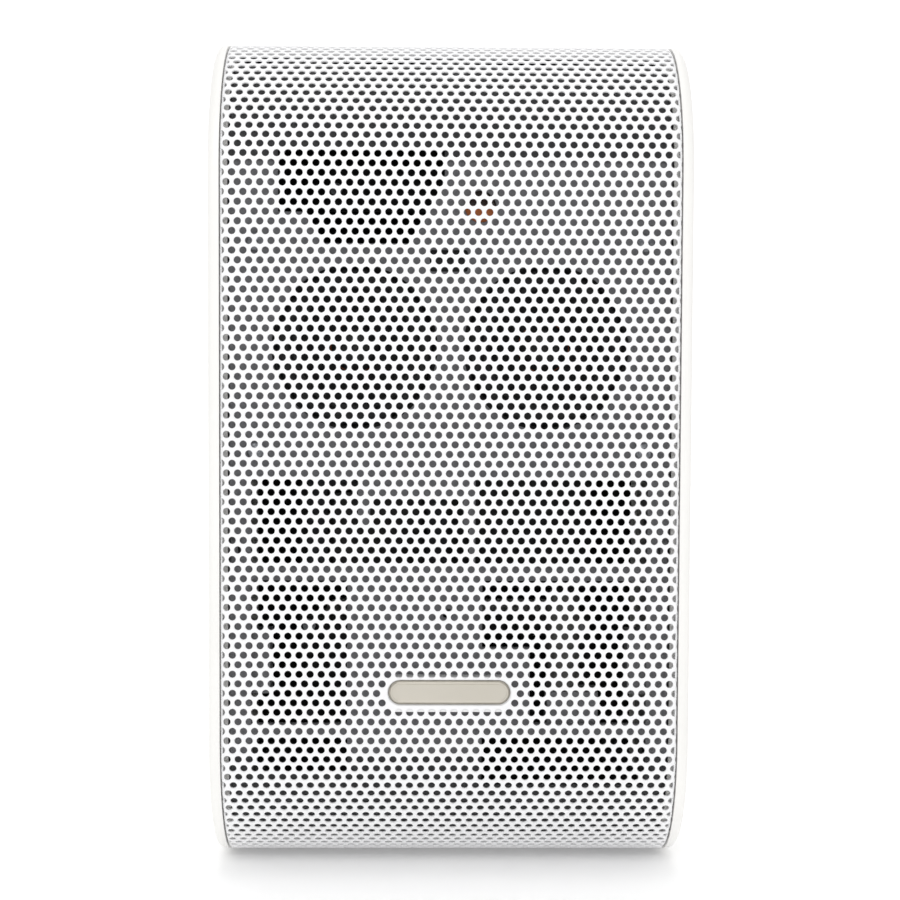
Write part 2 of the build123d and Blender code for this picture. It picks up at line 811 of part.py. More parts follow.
def build_basket(side):
    """Pressed frame: flange with a ledge for the surround, tapered wall with openings, spider ring."""
    spider_seat_y = spider_y + spider_skin
    rear_radius = basket_radius(basket_rear_y)
    with BuildPart() as basket:
        with BuildSketch(driver_section(side)):
            ring(flange_bore_radius, flange_radius, flange_face_y, flange_rear_y)
            ring(flange_bore_radius, ledge_radius, flange_face_y, ledge_y)
            with BuildLine():
                Polyline(
                    (basket_radius(flange_rear_y), flange_rear_y),
                    (rear_radius, basket_rear_y),
                    (rear_radius + basket_wall, basket_rear_y),
                    (basket_radius(flange_rear_y) + basket_wall, flange_rear_y),
                    close=True,
                )
            make_face()
            half_wall = basket_wall / 2
            ring(basket_hole_radius, rear_radius + half_wall, basket_rear_y - basket_wall, basket_rear_y)
            ring(
                spider_seat_radius,
                basket_radius(spider_seat_y) + half_wall,
                spider_seat_y,
                spider_seat_y + spider_seat_thickness,
            )
        revolve(axis=driver_axis(side))
        with BuildSketch(driver_section(side)):
            ring(0, ledge_radius, flange_face_y - 1, ledge_y)
        revolve(axis=driver_axis(side), mode=Mode.SUBTRACT)
        for arm in range(basket_arms):
            with BuildSketch(driver_section(side, turn=arm * 360 / basket_arms)):
                ring(magnet_radius, flange_radius, flange_rear_y + basket_rim, spider_y - basket_rim / 2)
            revolve(axis=driver_axis(side), revolution_arc=basket_opening_angle, mode=Mode.SUBTRACT)
    return basket


def build_surround(side):
    """Rubber edge: two flat lips joined by a half roll."""
    lip_y = ledge_y - surround_skin
    with BuildPart() as surround:
        with BuildSketch(driver_section(side)):
            with Locations((roll_centre_radius, ledge_y)):
                Circle(surround_roll_radius + surround_skin / 2)
                Circle(surround_roll_radius - surround_skin / 2, mode=Mode.SUBTRACT)
            with Locations((roll_centre_radius, ledge_y + surround_roll_radius)):
                Rectangle(3 * surround_roll_radius, 2 * surround_roll_radius, mode=Mode.SUBTRACT)
            ring(cone_radius - cone_lip, cone_radius + surround_skin / 2, lip_y, ledge_y)
            ring(flange_bore_radius - surround_skin / 2, ledge_radius - surround_rim_gap, lip_y, ledge_y)
        revolve(axis=driver_axis(side))
    return surround


def build_spider(side):
    """Corrugated fabric disc that centres the voice coil."""
    inner = coil_outer_radius + coil_clearance
    outer = basket_radius(spider_y) - spider_rim_gap
    fold_step = (outer - spider_lip - inner) / spider_folds
    fold_places = range(spider_folds + 1)
    front_line = [(inner + i * fold_step, spider_y - spider_fold_rise * (i % 2)) for i in fold_places]
    front_line.append((outer, spider_y))
    rear_line = [(radius, y + spider_skin) for radius, y in reversed(front_line)]
    with BuildPart() as spider:
        with BuildSketch(driver_section(side)):
            with BuildLine():
                Polyline(*front_line, *rear_line, close=True)
            make_face()
        revolve(axis=driver_axis(side))
    return spider


def build_cone(side):
    """Thin flared cone with a flat lip under the surround."""
    lip_radius = cone_radius - cone_lip
    neck_y = ledge_y + cone_depth
    middle = (
        (lip_radius + coil_outer_radius) / 2 - cone_bulge,
        (ledge_y + neck_y) / 2 - cone_bulge,
    )
    with BuildPart() as cone:
        with BuildSketch(driver_section(side)):
            with BuildLine():
                ThreePointArc((lip_radius, ledge_y), middle, (coil_outer_radius, neck_y))
                Line((coil_outer_radius, neck_y), (coil_outer_radius, neck_y + cone_skin))
                ThreePointArc(
                    (coil_outer_radius, neck_y + cone_skin),
                    (middle[0], middle[1] + cone_skin),
                    (lip_radius, ledge_y + cone_skin),
                )
                Line((lip_radius, ledge_y + cone_skin), (lip_radius, ledge_y))
            make_face()
            ring(lip_radius, cone_radius, ledge_y, ledge_y + cone_skin)
        revolve(axis=driver_axis(side))
    return cone


coil_front_y = ledge_y + cone_depth - coil_wall


def build_dust_cap(side):
    """Domed cap that closes the voice coil's front end."""
    crown = (0, coil_front_y - dust_cap_rise)
    edge = (dust_cap_radius, coil_front_y)
    with BuildPart() as dust_cap:
        with BuildSketch(driver_section(side)):
            with BuildLine():
                TangentArc(crown, edge, tangent=(1, 0))
                Polyline(edge, (0, coil_front_y), crown)
            make_face()
        revolve(axis=driver_axis(side))
    return dust_cap


def build_turned(side, rings):
    """Turned piece made of coaxial rings (inner radius, outer radius, front, rear)."""
    with BuildPart() as turned:
        with BuildSketch(driver_section(side)):
            for inner, outer, y_from, y_to in rings:
                ring(inner, outer, y_from, y_to)
        revolve(axis=driver_axis(side))
    return turned


front_plate_rings = [(coil_outer_radius + coil_clearance, plate_radius, basket_rear_y, plate_rear_y)]
magnet_rings = [(magnet_bore_radius, magnet_radius, plate_rear_y, magnet_rear_y)]
yoke_rings = [
    (0, plate_radius, magnet_rear_y, yoke_rear_y),
    (0, coil_radius - coil_clearance, basket_rear_y, magnet_rear_y),
]
coil_rings = [(coil_radius, coil_outer_radius, coil_front_y, coil_front_y + coil_length)]

for name, side in (("left", -1), ("right", 1)):
    finish(build_basket(side), f"{name}_basket")
    finish(build_surround(side), f"{name}_surround")
    finish(build_spider(side), f"{name}_spider")
    finish(build_cone(side), f"{name}_cone")
    finish(build_dust_cap(side), f"{name}_dust_cap")
    finish(build_turned(side, coil_rings), f"{name}_voice_coil")
    finish(build_turned(side, front_plate_rings), f"{name}_front_plate")
    finish(build_turned(side, magnet_rings), f"{name}_magnet")
    finish(build_turned(side, yoke_rings), f"{name}_yoke")


# ---------------------------------------------------------------- rear connector panel and sockets
socket_sizes = [
    (inlet_x, inlet_width, inlet_height),
    (network_x, network_width, network_height),
    (aux_x, aux_width, aux_width),
]

with BuildPart() as connector_panel:
    with BuildSketch(facing(wall_inner_y)):
        with Locations((0, panel_z)):
            RectangleRounded(panel_width + 2 * panel_lip, panel_height + 2 * panel_lip, panel_corner)
    extrude(amount=panel_thickness)
    with BuildSketch(facing(wall_inner_y)):
        for x, across, high in socket_sizes:
            with Locations((x, panel_z)):
                Rectangle(across + 2 * socket_gap, high + 2 * socket_gap)
    extrude(amount=panel_thickness, mode=Mode.SUBTRACT)
finish(connector_panel, "connector_panel")

with BuildPart() as mains_inlet:
    with BuildSketch(facing(wall_inner_y)):
        with Locations((inlet_x, panel_z)):
            Rectangle(inlet_width, inlet_height)
    extrude(amount=socket_length)
    with BuildSketch(facing(wall_inner_y)):
        with Locations([(inlet_x + side * inlet_pin_pitch / 2, panel_z) for side in (-1, 1)]):
            Circle(inlet_lobe_radius)
        with Locations((inlet_x, panel_z)):
            Rectangle(inlet_pin_pitch, 2 * inlet_lobe_radius - 1)
    extrude(amount=socket_length - inlet_floor, mode=Mode.SUBTRACT)
finish(mains_inlet, "mains_inlet")

with BuildPart() as inlet_pins:
    with BuildSketch(facing(socket_front_y + inlet_floor)):
        with Locations([(inlet_x + side * inlet_pin_pitch / 2, panel_z) for side in (-1, 1)]):
            Circle(inlet_pin_radius)
    extrude(amount=-inlet_pin_length)
    chamfer(inlet_pins.edges().group_by(Axis.Y)[-1], inlet_pin_radius / 3)
finish(inlet_pins, "inlet_pins")

with BuildPart() as network_jack:
    with BuildSketch(facing(wall_inner_y)):
        with Locations((network_x, panel_z)):
            Rectangle(network_width, network_height)
    extrude(amount=socket_length)
    with BuildSketch(facing(wall_inner_y)):
        with Locations((network_x, panel_z)):
            Rectangle(network_cavity_width, network_cavity_height)
    extrude(amount=network_cavity_depth, mode=Mode.SUBTRACT)
finish(network_jack, "network_jack")

with BuildPart() as aux_jack:
    with BuildSketch(facing(wall_inner_y)):
        with Locations((aux_x, panel_z)):
            Rectangle(aux_width, aux_width)
    extrude(amount=socket_length)
    with BuildSketch(facing(wall_inner_y)):
        with Locations((aux_x, panel_z)):
            Circle(aux_bore_radius)
    extrude(amount=aux_bore_length, mode=Mode.SUBTRACT)
finish(aux_jack, "aux_jack")


# ---------------------------------------------------------------- boards and what stands on them
def build_board(middle_z, across, high, rear_y, screw_places):
    """Circuit board with its screw holes."""
    with BuildPart() as board:
        with BuildSketch(facing(rear_y)):
            with Locations((0, middle_z)):
                Rectangle(across, high)
            with Locations(screw_places):
                Circle(board_screw_radius + 2 * socket_gap, mode=Mode.SUBTRACT)
        extrude(amount=board_thickness)
    return board


board_front_y = socket_front_y - board_thickness
button_board_front_y = button_board_y - board_thickness
finish(
    build_board(main_board_z, main_board_width, main_board_height, socket_front_y, main_post_places),
    "main_board",
)
finish(
    build_board(power_board_z, main_board_width, power_board_height, socket_front_y, power_post_places),
    "power_board",
)
finish(
    build_board(button_z, button_board_width, button_board_height, button_board_y, button_post_places),
    "button_board",
)

with BuildPart() as board_screws:
    screw_groups = ((board_front_y, board_post_places), (button_board_front_y, button_post_places))
    for seat_y, places in screw_groups:
        with BuildSketch(facing(seat_y)):
            with Locations(places):
                Circle(board_screw_head)
        extrude(amount=board_screw_head_height)
        with BuildSketch(facing(seat_y)):
            with Locations(places):
                Circle(board_screw_radius)
        extrude(amount=-board_screw_length)
finish(board_screws, "board_screws")

heatsink_x = main_board_width / 2 - board_post_inset - board_post_radius - heatsink_width / 2 - 2
with BuildPart() as amplifier_heatsink:
    with BuildSketch(facing(board_front_y)):
        with Locations((heatsink_x, main_board_z)):
            Rectangle(heatsink_width, heatsink_height)
    extrude(amount=heatsink_base)
    with BuildSketch(facing(board_front_y - heatsink_base)):
        with Locations((heatsink_x, main_board_z)):
            fin_pitch = (heatsink_width - heatsink_fin_wall) / (heatsink_fins - 1)
            with GridLocations(fin_pitch, 0, heatsink_fins, 1):
                Rectangle(heatsink_fin_wall, heatsink_height)
    extrude(amount=heatsink_rise - heatsink_base)
finish(amplifier_heatsink, "amplifier_heatsink")

with BuildPart() as radio_module:
    with BuildSketch(facing(board_front_y)):
        with Locations((transformer_x, main_board_z)):
            RectangleRounded(radio_width, radio_height, slot_corner)
    extrude(amount=radio_rise)
finish(radio_module, "radio_module")

with BuildPart() as radio_antenna:
    with BuildSketch(Plane.XY.offset(z_top - housing_wall)):
        with Locations((0, (wall_inner_y + housing_edge_y) / 2)):
            Rectangle(antenna_width, antenna_depth)
    extrude(amount=-antenna_thickness)
finish(radio_antenna, "radio_antenna")

core_leg = core_width - 2 * core_yoke - 2 * core_window
core_middle_y = board_front_y - winding_build - core_depth / 2
with BuildPart() as transformer_core:
    with BuildSketch(facing(core_middle_y + core_depth / 2)):
        with Locations((transformer_x, power_board_z)):
            Rectangle(core_width, core_height)
            with GridLocations(core_leg + core_window, 0, 2, 1):
                Rectangle(core_window, core_height - 2 * core_yoke, mode=Mode.SUBTRACT)
    extrude(amount=core_depth)
finish(transformer_core, "transformer_core")

with BuildPart() as transformer_winding:
    with BuildSketch(Plane.XY.offset(power_board_z)):
        with Locations((transformer_x, core_middle_y)):
            Rectangle(core_width - 2 * core_yoke - 2 * winding_gap, core_depth + 2 * winding_build)
            Rectangle(core_leg + 2 * winding_gap, core_depth + 2 * winding_gap, mode=Mode.SUBTRACT)
    extrude(amount=core_height / 2 - core_yoke - winding_gap, both=True)
    fillet(transformer_winding.edges().filter_by(Axis.Z).group_by(Axis.Y)[0], winding_build / 2)
finish(transformer_winding, "transformer_winding")

with BuildPart() as filter_capacitor:
    with BuildSketch(Plane.XY.offset(z_bottom + capacitor_shelf_rise)):
        with Locations((capacitor_x, chassis_back_y + capacitor_radius + capacitor_gap)):
            Circle(capacitor_radius)
    extrude(amount=capacitor_length)
    fillet(filter_capacitor.edges().group_by(Axis.Z)[-1], slot_corner)
finish(filter_capacitor, "filter_capacitor")


# ---------------------------------------------------------------- rear buttons
def build_button(x):
    """Button cap with a rear flange behind the wall and a plunger for its switch."""
    with BuildPart() as button:
        with BuildSketch(facing(button_flange_y)):
            with Locations((x, button_z)):
                Circle(button_radius + button_flange_extra)
        extrude(amount=button_flange_thickness)
        with BuildSketch(facing(y_rear - button_set_in)):
            with Locations((x, button_z)):
                Circle(button_radius)
        extrude(amount=y_rear - button_set_in - button_flange_y)
        fillet(button.edges().group_by(Axis.Y)[-1], slot_corner)
        with BuildSketch(facing(button_flange_y - button_flange_thickness)):
            with Locations((x, button_z)):
                Circle(button_plunger_radius)
        extrude(amount=button_plunger_length)
    return button


for name, x in zip(button_names, button_x):
    finish(build_button(x), name)

with BuildPart() as button_switches:
    with BuildSketch(facing(button_board_y)):
        with Locations(button_places):
            Rectangle(switch_size, switch_size)
    extrude(amount=-switch_height)
    with BuildSketch(facing(switch_rear_y)):
        with Locations(button_places):
            Circle(switch_well_radius)
    extrude(amount=switch_well_depth, mode=Mode.SUBTRACT)
finish(button_switches, "button_switches")


# ---------------------------------------------------------------- feet
with BuildPart() as rubber_feet:
    foot_ys = (housing_edge_y + foot_front_set, y_rear - foot_rear_set)
    with BuildSketch(Plane.XY):
        with Locations([(side * foot_x, y) for side in (-1, 1) for y in foot_ys]):
            Circle(foot_radius)
    extrude(amount=foot_height)
    fillet(rubber_feet.edges().group_by(Axis.Z)[0], foot_edge_radius)
finish(rubber_feet, "rubber_feet")
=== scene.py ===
"""White tabletop speaker with a bent perforated sheet front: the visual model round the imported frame."""

import json
import logging
import math
from contextlib import contextmanager
from dataclasses import dataclass, field
from enum import Enum
from typing import Callable, Iterator, Sequence

import bpy
import numpy as np
from mathutils import Matrix, Vector


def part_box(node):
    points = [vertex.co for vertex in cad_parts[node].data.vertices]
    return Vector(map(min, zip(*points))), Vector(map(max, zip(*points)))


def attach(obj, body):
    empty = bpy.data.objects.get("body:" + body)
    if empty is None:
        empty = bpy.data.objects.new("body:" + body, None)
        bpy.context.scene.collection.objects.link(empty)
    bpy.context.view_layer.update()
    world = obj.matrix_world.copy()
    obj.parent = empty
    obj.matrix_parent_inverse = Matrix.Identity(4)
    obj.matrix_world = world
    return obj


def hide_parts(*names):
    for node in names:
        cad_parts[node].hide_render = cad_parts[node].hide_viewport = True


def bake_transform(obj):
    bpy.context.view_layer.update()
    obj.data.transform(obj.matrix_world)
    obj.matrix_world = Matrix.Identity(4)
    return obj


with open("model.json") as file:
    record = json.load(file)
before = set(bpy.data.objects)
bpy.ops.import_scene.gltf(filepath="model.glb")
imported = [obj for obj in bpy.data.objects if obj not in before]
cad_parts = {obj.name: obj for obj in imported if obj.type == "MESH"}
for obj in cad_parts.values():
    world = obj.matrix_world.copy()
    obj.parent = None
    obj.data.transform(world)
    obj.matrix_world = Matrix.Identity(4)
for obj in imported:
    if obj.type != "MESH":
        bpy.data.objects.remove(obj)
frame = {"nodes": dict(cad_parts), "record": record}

logging.basicConfig(level=logging.INFO, format="%(message)s")
LOG = logging.getLogger("speaker")
MM = 0.001
CASING = "casing"
CLOUD_MM = 18.0
BAND_EDGE_MM = 0.5
FLAT_STEP = 1e-6
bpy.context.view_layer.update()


# ------------------------------------------------------------------ colour and nodes
def linear(hex_colour: str) -> tuple[float, float, float, float]:
    """Turn an sRGB hex colour into linear light.

    Args:
        hex_colour: six hex digits, red first.

    Returns:
        Red, green, blue and an alpha of 1.
    """
    channels = [int(hex_colour[i:i + 2], 16) / 255 for i in (0, 2, 4)]
    curve = [c / 12.92 if c <= 0.04045 else ((c + 0.055) / 1.055) ** 2.4 for c in channels]
    return (*curve, 1.0)


def add_node(tree: bpy.types.NodeTree, kind: str, values: dict | None = None, **settings) -> bpy.types.Node:
    """Add one node, set its properties and fill its inputs.

    Args:
        tree: node tree that takes the node.
        kind: Blender's name for the node type.
        values: input name or index to a constant, or to an output socket that is linked to it.
        settings: properties of the node itself.

    Returns:
        The new node.
    """
    node = tree.nodes.new(kind)
    for name, value in settings.items():
        setattr(node, name, value)
    for key, value in (values or {}).items():
        if isinstance(value, bpy.types.NodeSocket):
            tree.links.new(value, node.inputs[key])
        else:
            node.inputs[key].default_value = value
    return node


class Pattern(Enum):
    """What breaks up a surface."""

    GRAIN = "grain"
    BRUSHED = "brushed"
    ORANGE_PEEL = "orange_peel"
    FIBRE = "fibre"
    WOUND = "wound"
    TRACKS = "tracks"


@dataclass(frozen=True)
class Finish:
    """One finish, made of a real material and the way its surface was made.

    scale_mm is the size of one grain, brush line, fibre, wire or track. depth_mm is the height of its relief.
    wear is how far the second colour shows in the widest clouds.
    band is a colour, a middle height and half a height in mm: the surface takes that colour above and below them.
    """

    name: str
    colour: str
    second: str
    roughness: float
    pattern: Pattern
    scale_mm: float
    depth_mm: float = 0.01
    metallic: float = 0.0
    ior: float | None = None
    sheen: float = 0.0
    wear: float = 0.35
    glow: float = 0.0
    band: tuple[str, float, float] | None = None

    def build(self) -> bpy.types.Material:
        """Make the node material, once.

        Returns:
            The material, which later calls give again.
        """
        made = bpy.data.materials.get(self.name)
        if made is not None:
            return made
        material = bpy.data.materials.new(self.name)
        material.use_nodes = True
        tree = material.node_tree
        tree.nodes.clear()
        place = add_node(tree, "ShaderNodeTexCoord").outputs["Object"]
        relief = self._relief(tree, place)
        cloud = add_node(tree, "ShaderNodeTexNoise", {"Vector": place, "Scale": 1 / (CLOUD_MM * MM), "Detail": 3.0})
        amount = add_node(
            tree, "ShaderNodeMapRange",
            {"Value": cloud.outputs["Fac"], "From Min": 0.35, "From Max": 0.7, "To Max": self.wear},
        )
        mixed = add_node(
            tree, "ShaderNodeMix",
            {0: amount.outputs["Result"], 6: linear(self.colour), 7: linear(self.second)},
            data_type="RGBA",
        )
        colour = mixed.outputs[2]
        if self.band is not None:
            colour = self._banded(tree, place, colour)
        spread = add_node(
            tree, "ShaderNodeMapRange",
            {"Value": relief, "To Min": self.roughness * 0.92, "To Max": min(1.0, self.roughness * 1.1)},
        )
        bump = add_node(
            tree, "ShaderNodeBump",
            {"Height": relief, "Distance": self.depth_mm * MM, "Strength": 1.0},
        )
        shader = add_node(tree, "ShaderNodeBsdfPrincipled", {
            "Base Color": colour,
            "Roughness": spread.outputs["Result"],
            "Normal": bump.outputs["Normal"],
            "Metallic": self.metallic,
            "Sheen Weight": self.sheen,
            "Emission Color": linear(self.colour),
            "Emission Strength": self.glow,
        })
        if self.ior is not None:
            shader.inputs["IOR"].default_value = self.ior
        output = add_node(tree, "ShaderNodeOutputMaterial")
        tree.links.new(shader.outputs["BSDF"], output.inputs["Surface"])
        return material

    def _banded(
        self, tree: bpy.types.NodeTree, place: bpy.types.NodeSocket, colour: bpy.types.NodeSocket
    ) -> bpy.types.NodeSocket:
        """Change the colour above and below the band's heights.

        Args:
            tree: node tree that takes the nodes.
            place: object coordinates, in metres.
            colour: the colour between those heights.

        Returns:
            The banded colour.
        """
        hex_colour, middle, half = self.band
        height = add_node(tree, "ShaderNodeSeparateXYZ", {0: place}).outputs["Z"]
        offset = add_node(tree, "ShaderNodeMath", {0: height, 1: middle * MM}, operation="SUBTRACT")
        away = add_node(tree, "ShaderNodeMath", {0: offset.outputs[0]}, operation="ABSOLUTE")
        edge = add_node(tree, "ShaderNodeMapRange", {
            "Value": away.outputs[0],
            "From Min": (half - BAND_EDGE_MM) * MM,
            "From Max": (half + BAND_EDGE_MM) * MM,
        })
        banded = add_node(
            tree, "ShaderNodeMix", {0: edge.outputs["Result"], 6: colour, 7: linear(hex_colour)}, data_type="RGBA"
        )
        return banded.outputs[2]

    def _relief(self, tree: bpy.types.NodeTree, place: bpy.types.NodeSocket) -> bpy.types.NodeSocket:
        """Draw the surface's pattern.

        Args:
            tree: node tree that takes the nodes.
            place: object coordinates, in metres.

        Returns:
            Height from 0 to 1.
        """
        per_metre = 1 / (self.scale_mm * MM)
        if self.pattern is Pattern.BRUSHED:
            stretched = add_node(
                tree, "ShaderNodeMapping", {"Vector": place, "Scale": (per_metre / 30, per_metre, per_metre)}
            )
            lines = add_node(tree, "ShaderNodeTexNoise", {"Vector": stretched.outputs["Vector"], "Scale": 1.0})
            return lines.outputs["Fac"]
        if self.pattern is Pattern.WOUND:
            turns = add_node(
                tree, "ShaderNodeTexWave",
                {"Vector": place, "Scale": per_metre / 20, "Distortion": 0.4},
                bands_direction="Z",
            )
            return turns.outputs["Fac"]
        if self.pattern is Pattern.TRACKS:
            cells = add_node(
                tree, "ShaderNodeTexVoronoi", {"Vector": place, "Scale": per_metre}, distance="MANHATTAN"
            )
            return cells.outputs["Distance"]
        detail = {Pattern.GRAIN: 5.0, Pattern.ORANGE_PEEL: 1.0, Pattern.FIBRE: 8.0}[self.pattern]
        noise = add_node(
            tree, "ShaderNodeTexNoise",
            {"Vector": place, "Scale": per_metre, "Detail": detail, "Roughness": 0.6},
        )
        return noise.outputs["Fac"]


# Powder-coated steel: a thick white skin with a faint orange peel that softens every punched rim.
POWDER_COATED_STEEL = Finish("powder_coated_steel", "F7F7F8", "F3F3F5", 0.42, Pattern.ORANGE_PEEL, 0.9, 0.012, ior=1.5)
# Moulded ABS: warm white, spark-eroded grain, a low even sheen.
MOULDED_ABS = Finish("moulded_abs_white", "F7F6F3", "F2F1EE", 0.38, Pattern.GRAIN, 0.35, 0.006, ior=1.54)
# Unpainted ABS of the inner frame: duller and greyer, with flow marks.
# Painted shade: both curved ends are coloured dark grey, so the holes over the bends look deep.
FRAME_ABS = Finish(
    "moulded_abs_frame", "848487", "7A7A7E", 0.6, Pattern.GRAIN, 0.5, 0.01, ior=1.54, band=("454547", 115.3, 80.8)
)
# Painted shade: the faces inside the housing are coloured dark and dull, so that nothing shines through the windows.
INSIDE_PAINTED_SHADE = Finish("painted_shade_inside", "1D1D1E", "252526", 0.75, Pattern.ORANGE_PEEL, 0.8, 0.02, ior=1.5)
# Moulded ABS of the badge holder: plain matt white, so that the slot round the badge looks clean and shallow.
HOLDER_ABS = Finish("moulded_abs_holder", "F4F4F4", "ECECEC", 0.5, Pattern.GRAIN, 0.4, 0.006, ior=1.54)
# Anodised aluminium: champagne silver, satin, with the fine lines of its brushing along the length.
ANODISED_ALUMINIUM = Finish("anodised_aluminium", "CCC7BC", "BFBAAE", 0.3, Pattern.BRUSHED, 0.12, 0.004, metallic=1.0)
# Zinc-plated steel screws: bluish grey glints in a satin skin, which pick the heads out of the frame.
ZINC_PLATED_STEEL = Finish("zinc_plated_steel", "A9ABB0", "8F9196", 0.32, Pattern.GRAIN, 0.3, 0.004, metallic=1.0)
# Smoked acrylic lens: dark on top, copper orange low down, where the lamp chip behind it sits.
AMBER_ACRYLIC = Finish(
    "amber_acrylic", "2A1410", "1E0F0C", 0.22, Pattern.GRAIN, 0.6, 0.003, ior=1.49, band=("C8703C", 192.6, 8.6)
)
# Black solder mask over copper tracks: near black with a low gloss and a faint raised grid of tracks.
SOLDER_MASK = Finish("solder_mask_board", "1B1C1E", "141517", 0.35, Pattern.TRACKS, 1.6, 0.02, ior=1.5)
# Closed-cell foam: dead matt black that swallows the light round the drivers.
FOAM_GASKET = Finish("closed_cell_foam", "1E1E1F", "141415", 0.9, Pattern.GRAIN, 0.5, 0.05)
# Painted stamped steel: black with a soft sheen and a slight orange peel on the baskets.
STAMPED_STEEL = Finish("painted_stamped_steel", "1C1C1D", "252526", 0.45, Pattern.ORANGE_PEEL, 0.7, 0.01, ior=1.5)
# Pressed paper: charcoal and matt, with fibres that roughen it at close range.
CONE_PAPER = Finish("pressed_cone_paper", "2A2A2B", "1D1D1E", 0.85, Pattern.FIBRE, 0.7, 0.04, ior=1.4)
# Formed film: smoother than the cone, so that the dome carries one soft highlight.
CAP_FILM = Finish("formed_cap_film", "232324", "1B1B1C", 0.4, Pattern.GRAIN, 0.4, 0.004, ior=1.5)
# Butyl rubber: black with a broad dull shine along the roll.
BUTYL_RUBBER = Finish("butyl_rubber", "18181A", "202022", 0.55, Pattern.GRAIN, 0.3, 0.006, ior=1.52)
# Resin-dipped cloth: honey brown, woven and slightly fuzzy at its edge.
SPIDER_CLOTH = Finish("resin_dipped_cloth", "B58B4A", "9A7338", 0.8, Pattern.FIBRE, 0.4, 0.05, sheen=0.2)
# Enamelled copper wire: orange metal with the turns lying side by side.
COPPER_WINDING = Finish("enamelled_copper_wire", "A85A32", "8C4826", 0.35, Pattern.WOUND, 0.3, 0.03, metallic=1.0)
# Passivated steel plates: plain grey metal with a dull, even shine.
PLATED_STEEL = Finish("passivated_steel", "9A9CA0", "86888C", 0.38, Pattern.GRAIN, 0.5, 0.006, metallic=1.0)
# Sintered ferrite: dark charcoal, chalky and grainy.
FERRITE = Finish("sintered_ferrite", "2B2B2D", "333336", 0.7, Pattern.GRAIN, 0.6, 0.03)
# Moulded ABS of the socket panel: a cooler, greyer white than the shell, with a finer gloss.
PANEL_ABS = Finish("moulded_abs_panel", "DADAD8", "D2D2D0", 0.45, Pattern.GRAIN, 0.4, 0.01, ior=1.54)
# Glass-filled nylon: black with a fine speckle and a dry look.
SOCKET_NYLON = Finish("glass_filled_nylon", "1A1A1B", "242425", 0.55, Pattern.GRAIN, 0.5, 0.012, ior=1.53)
# Nickel plate: warm silver, the brightest and smoothest metal on the back.
NICKEL_PLATE = Finish("nickel_plated_pin", "C9C5BC", "B8B4AA", 0.18, Pattern.GRAIN, 0.4, 0.002, metallic=1.0)
# Gold flash on spring contacts: a warm glint inside the dark socket.
GOLD_FLASH = Finish("gold_flash_contact", "E0B458", "CFA048", 0.2, Pattern.GRAIN, 0.4, 0.002, metallic=1.0)
# Black anodised aluminium: dark metal with fine lines along the fins.
BLACK_ANODISED = Finish("black_anodised_aluminium", "1C1C1F", "28282B", 0.4, Pattern.BRUSHED, 0.2, 0.006, metallic=1.0)
# Tinned steel shield: pale silver with a soft, rippled skin.
TINNED_STEEL = Finish("tinned_shield_steel", "B9BABC", "A7A8AB", 0.3, Pattern.ORANGE_PEEL, 0.9, 0.004, metallic=1.0)
# Varnished silicon iron: dark grey sheets stacked edge on, seen as fine lines.
SILICON_IRON = Finish("varnished_silicon_iron", "55565A", "45464A", 0.5, Pattern.WOUND, 0.5, 0.04, metallic=0.9)
# Heat-shrunk sleeve: mid grey with a tight, slightly wavy gloss.
SHRINK_SLEEVE = Finish("shrink_sleeve", "5A5A58", "4E4E4C", 0.3, Pattern.ORANGE_PEEL, 2.0, 0.02, ior=1.5)
# Polyester tape over the winding: dark brown-black, smooth, with the turns showing through.
WINDING_TAPE = Finish("polyester_winding_tape", "1F1B1A", "2A2523", 0.4, Pattern.WOUND, 0.9, 0.03, ior=1.6)
# Turned brass: yellow metal with the fine rings that the tool left.
TURNED_BRASS = Finish("turned_brass", "C8A04E", "B58C3C", 0.28, Pattern.WOUND, 0.4, 0.01, metallic=1.0)
# Moulded ABS of the buttons: a hair greyer than the shell, so that each button reads inside its ring.
BUTTON_ABS = Finish("moulded_abs_button", "EFEEEB", "E8E7E4", 0.36, Pattern.GRAIN, 0.3, 0.005, ior=1.54)
# Moulded foot rubber: dark grey, matt, dusty in its grain.
FOOT_RUBBER = Finish("moulded_foot_rubber", "2A2A2C", "353538", 0.75, Pattern.GRAIN, 0.5, 0.02, ior=1.52)
# Opal shooting table, lit a little from below: white, with a shadow that stays pale.
STUDIO_PAPER = Finish("opal_table", "FCFCFC", "FAFAFA", 0.9, Pattern.FIBRE, 3.0, 0.01, glow=0.15)

SLOT_FINISHES: dict[str, Finish] = {
    "white_sheet": POWDER_COATED_STEEL,
    "white_shell": MOULDED_ABS,
    "chassis_plastic": FRAME_ABS,
    "badge_metal": ANODISED_ALUMINIUM,
    "holder_plastic": HOLDER_ABS,
    "zinc_steel": ZINC_PLATED_STEEL,
    "lens_amber": AMBER_ACRYLIC,
    "circuit_board": SOLDER_MASK,
    "black_foam": FOAM_GASKET,
    "black_steel": STAMPED_STEEL,
    "cone_paper": CONE_PAPER,
    "cap_black": CAP_FILM,
    "edge_rubber": BUTYL_RUBBER,
    "spider_cloth": SPIDER_CLOTH,
    "coil_copper": COPPER_WINDING,
    "plated_steel": PLATED_STEEL,
    "ferrite": FERRITE,
    "panel_grey": PANEL_ABS,
    "socket_black": SOCKET_NYLON,
    "pin_nickel": NICKEL_PLATE,
    "black_aluminium": BLACK_ANODISED,
    "shield_tin": TINNED_STEEL,
    "core_iron": SILICON_IRON,
    "capacitor_sleeve": SHRINK_SLEEVE,
    "insert_brass": TURNED_BRASS,
    "button_white": BUTTON_ABS,
    "foot_rubber": FOOT_RUBBER,
}


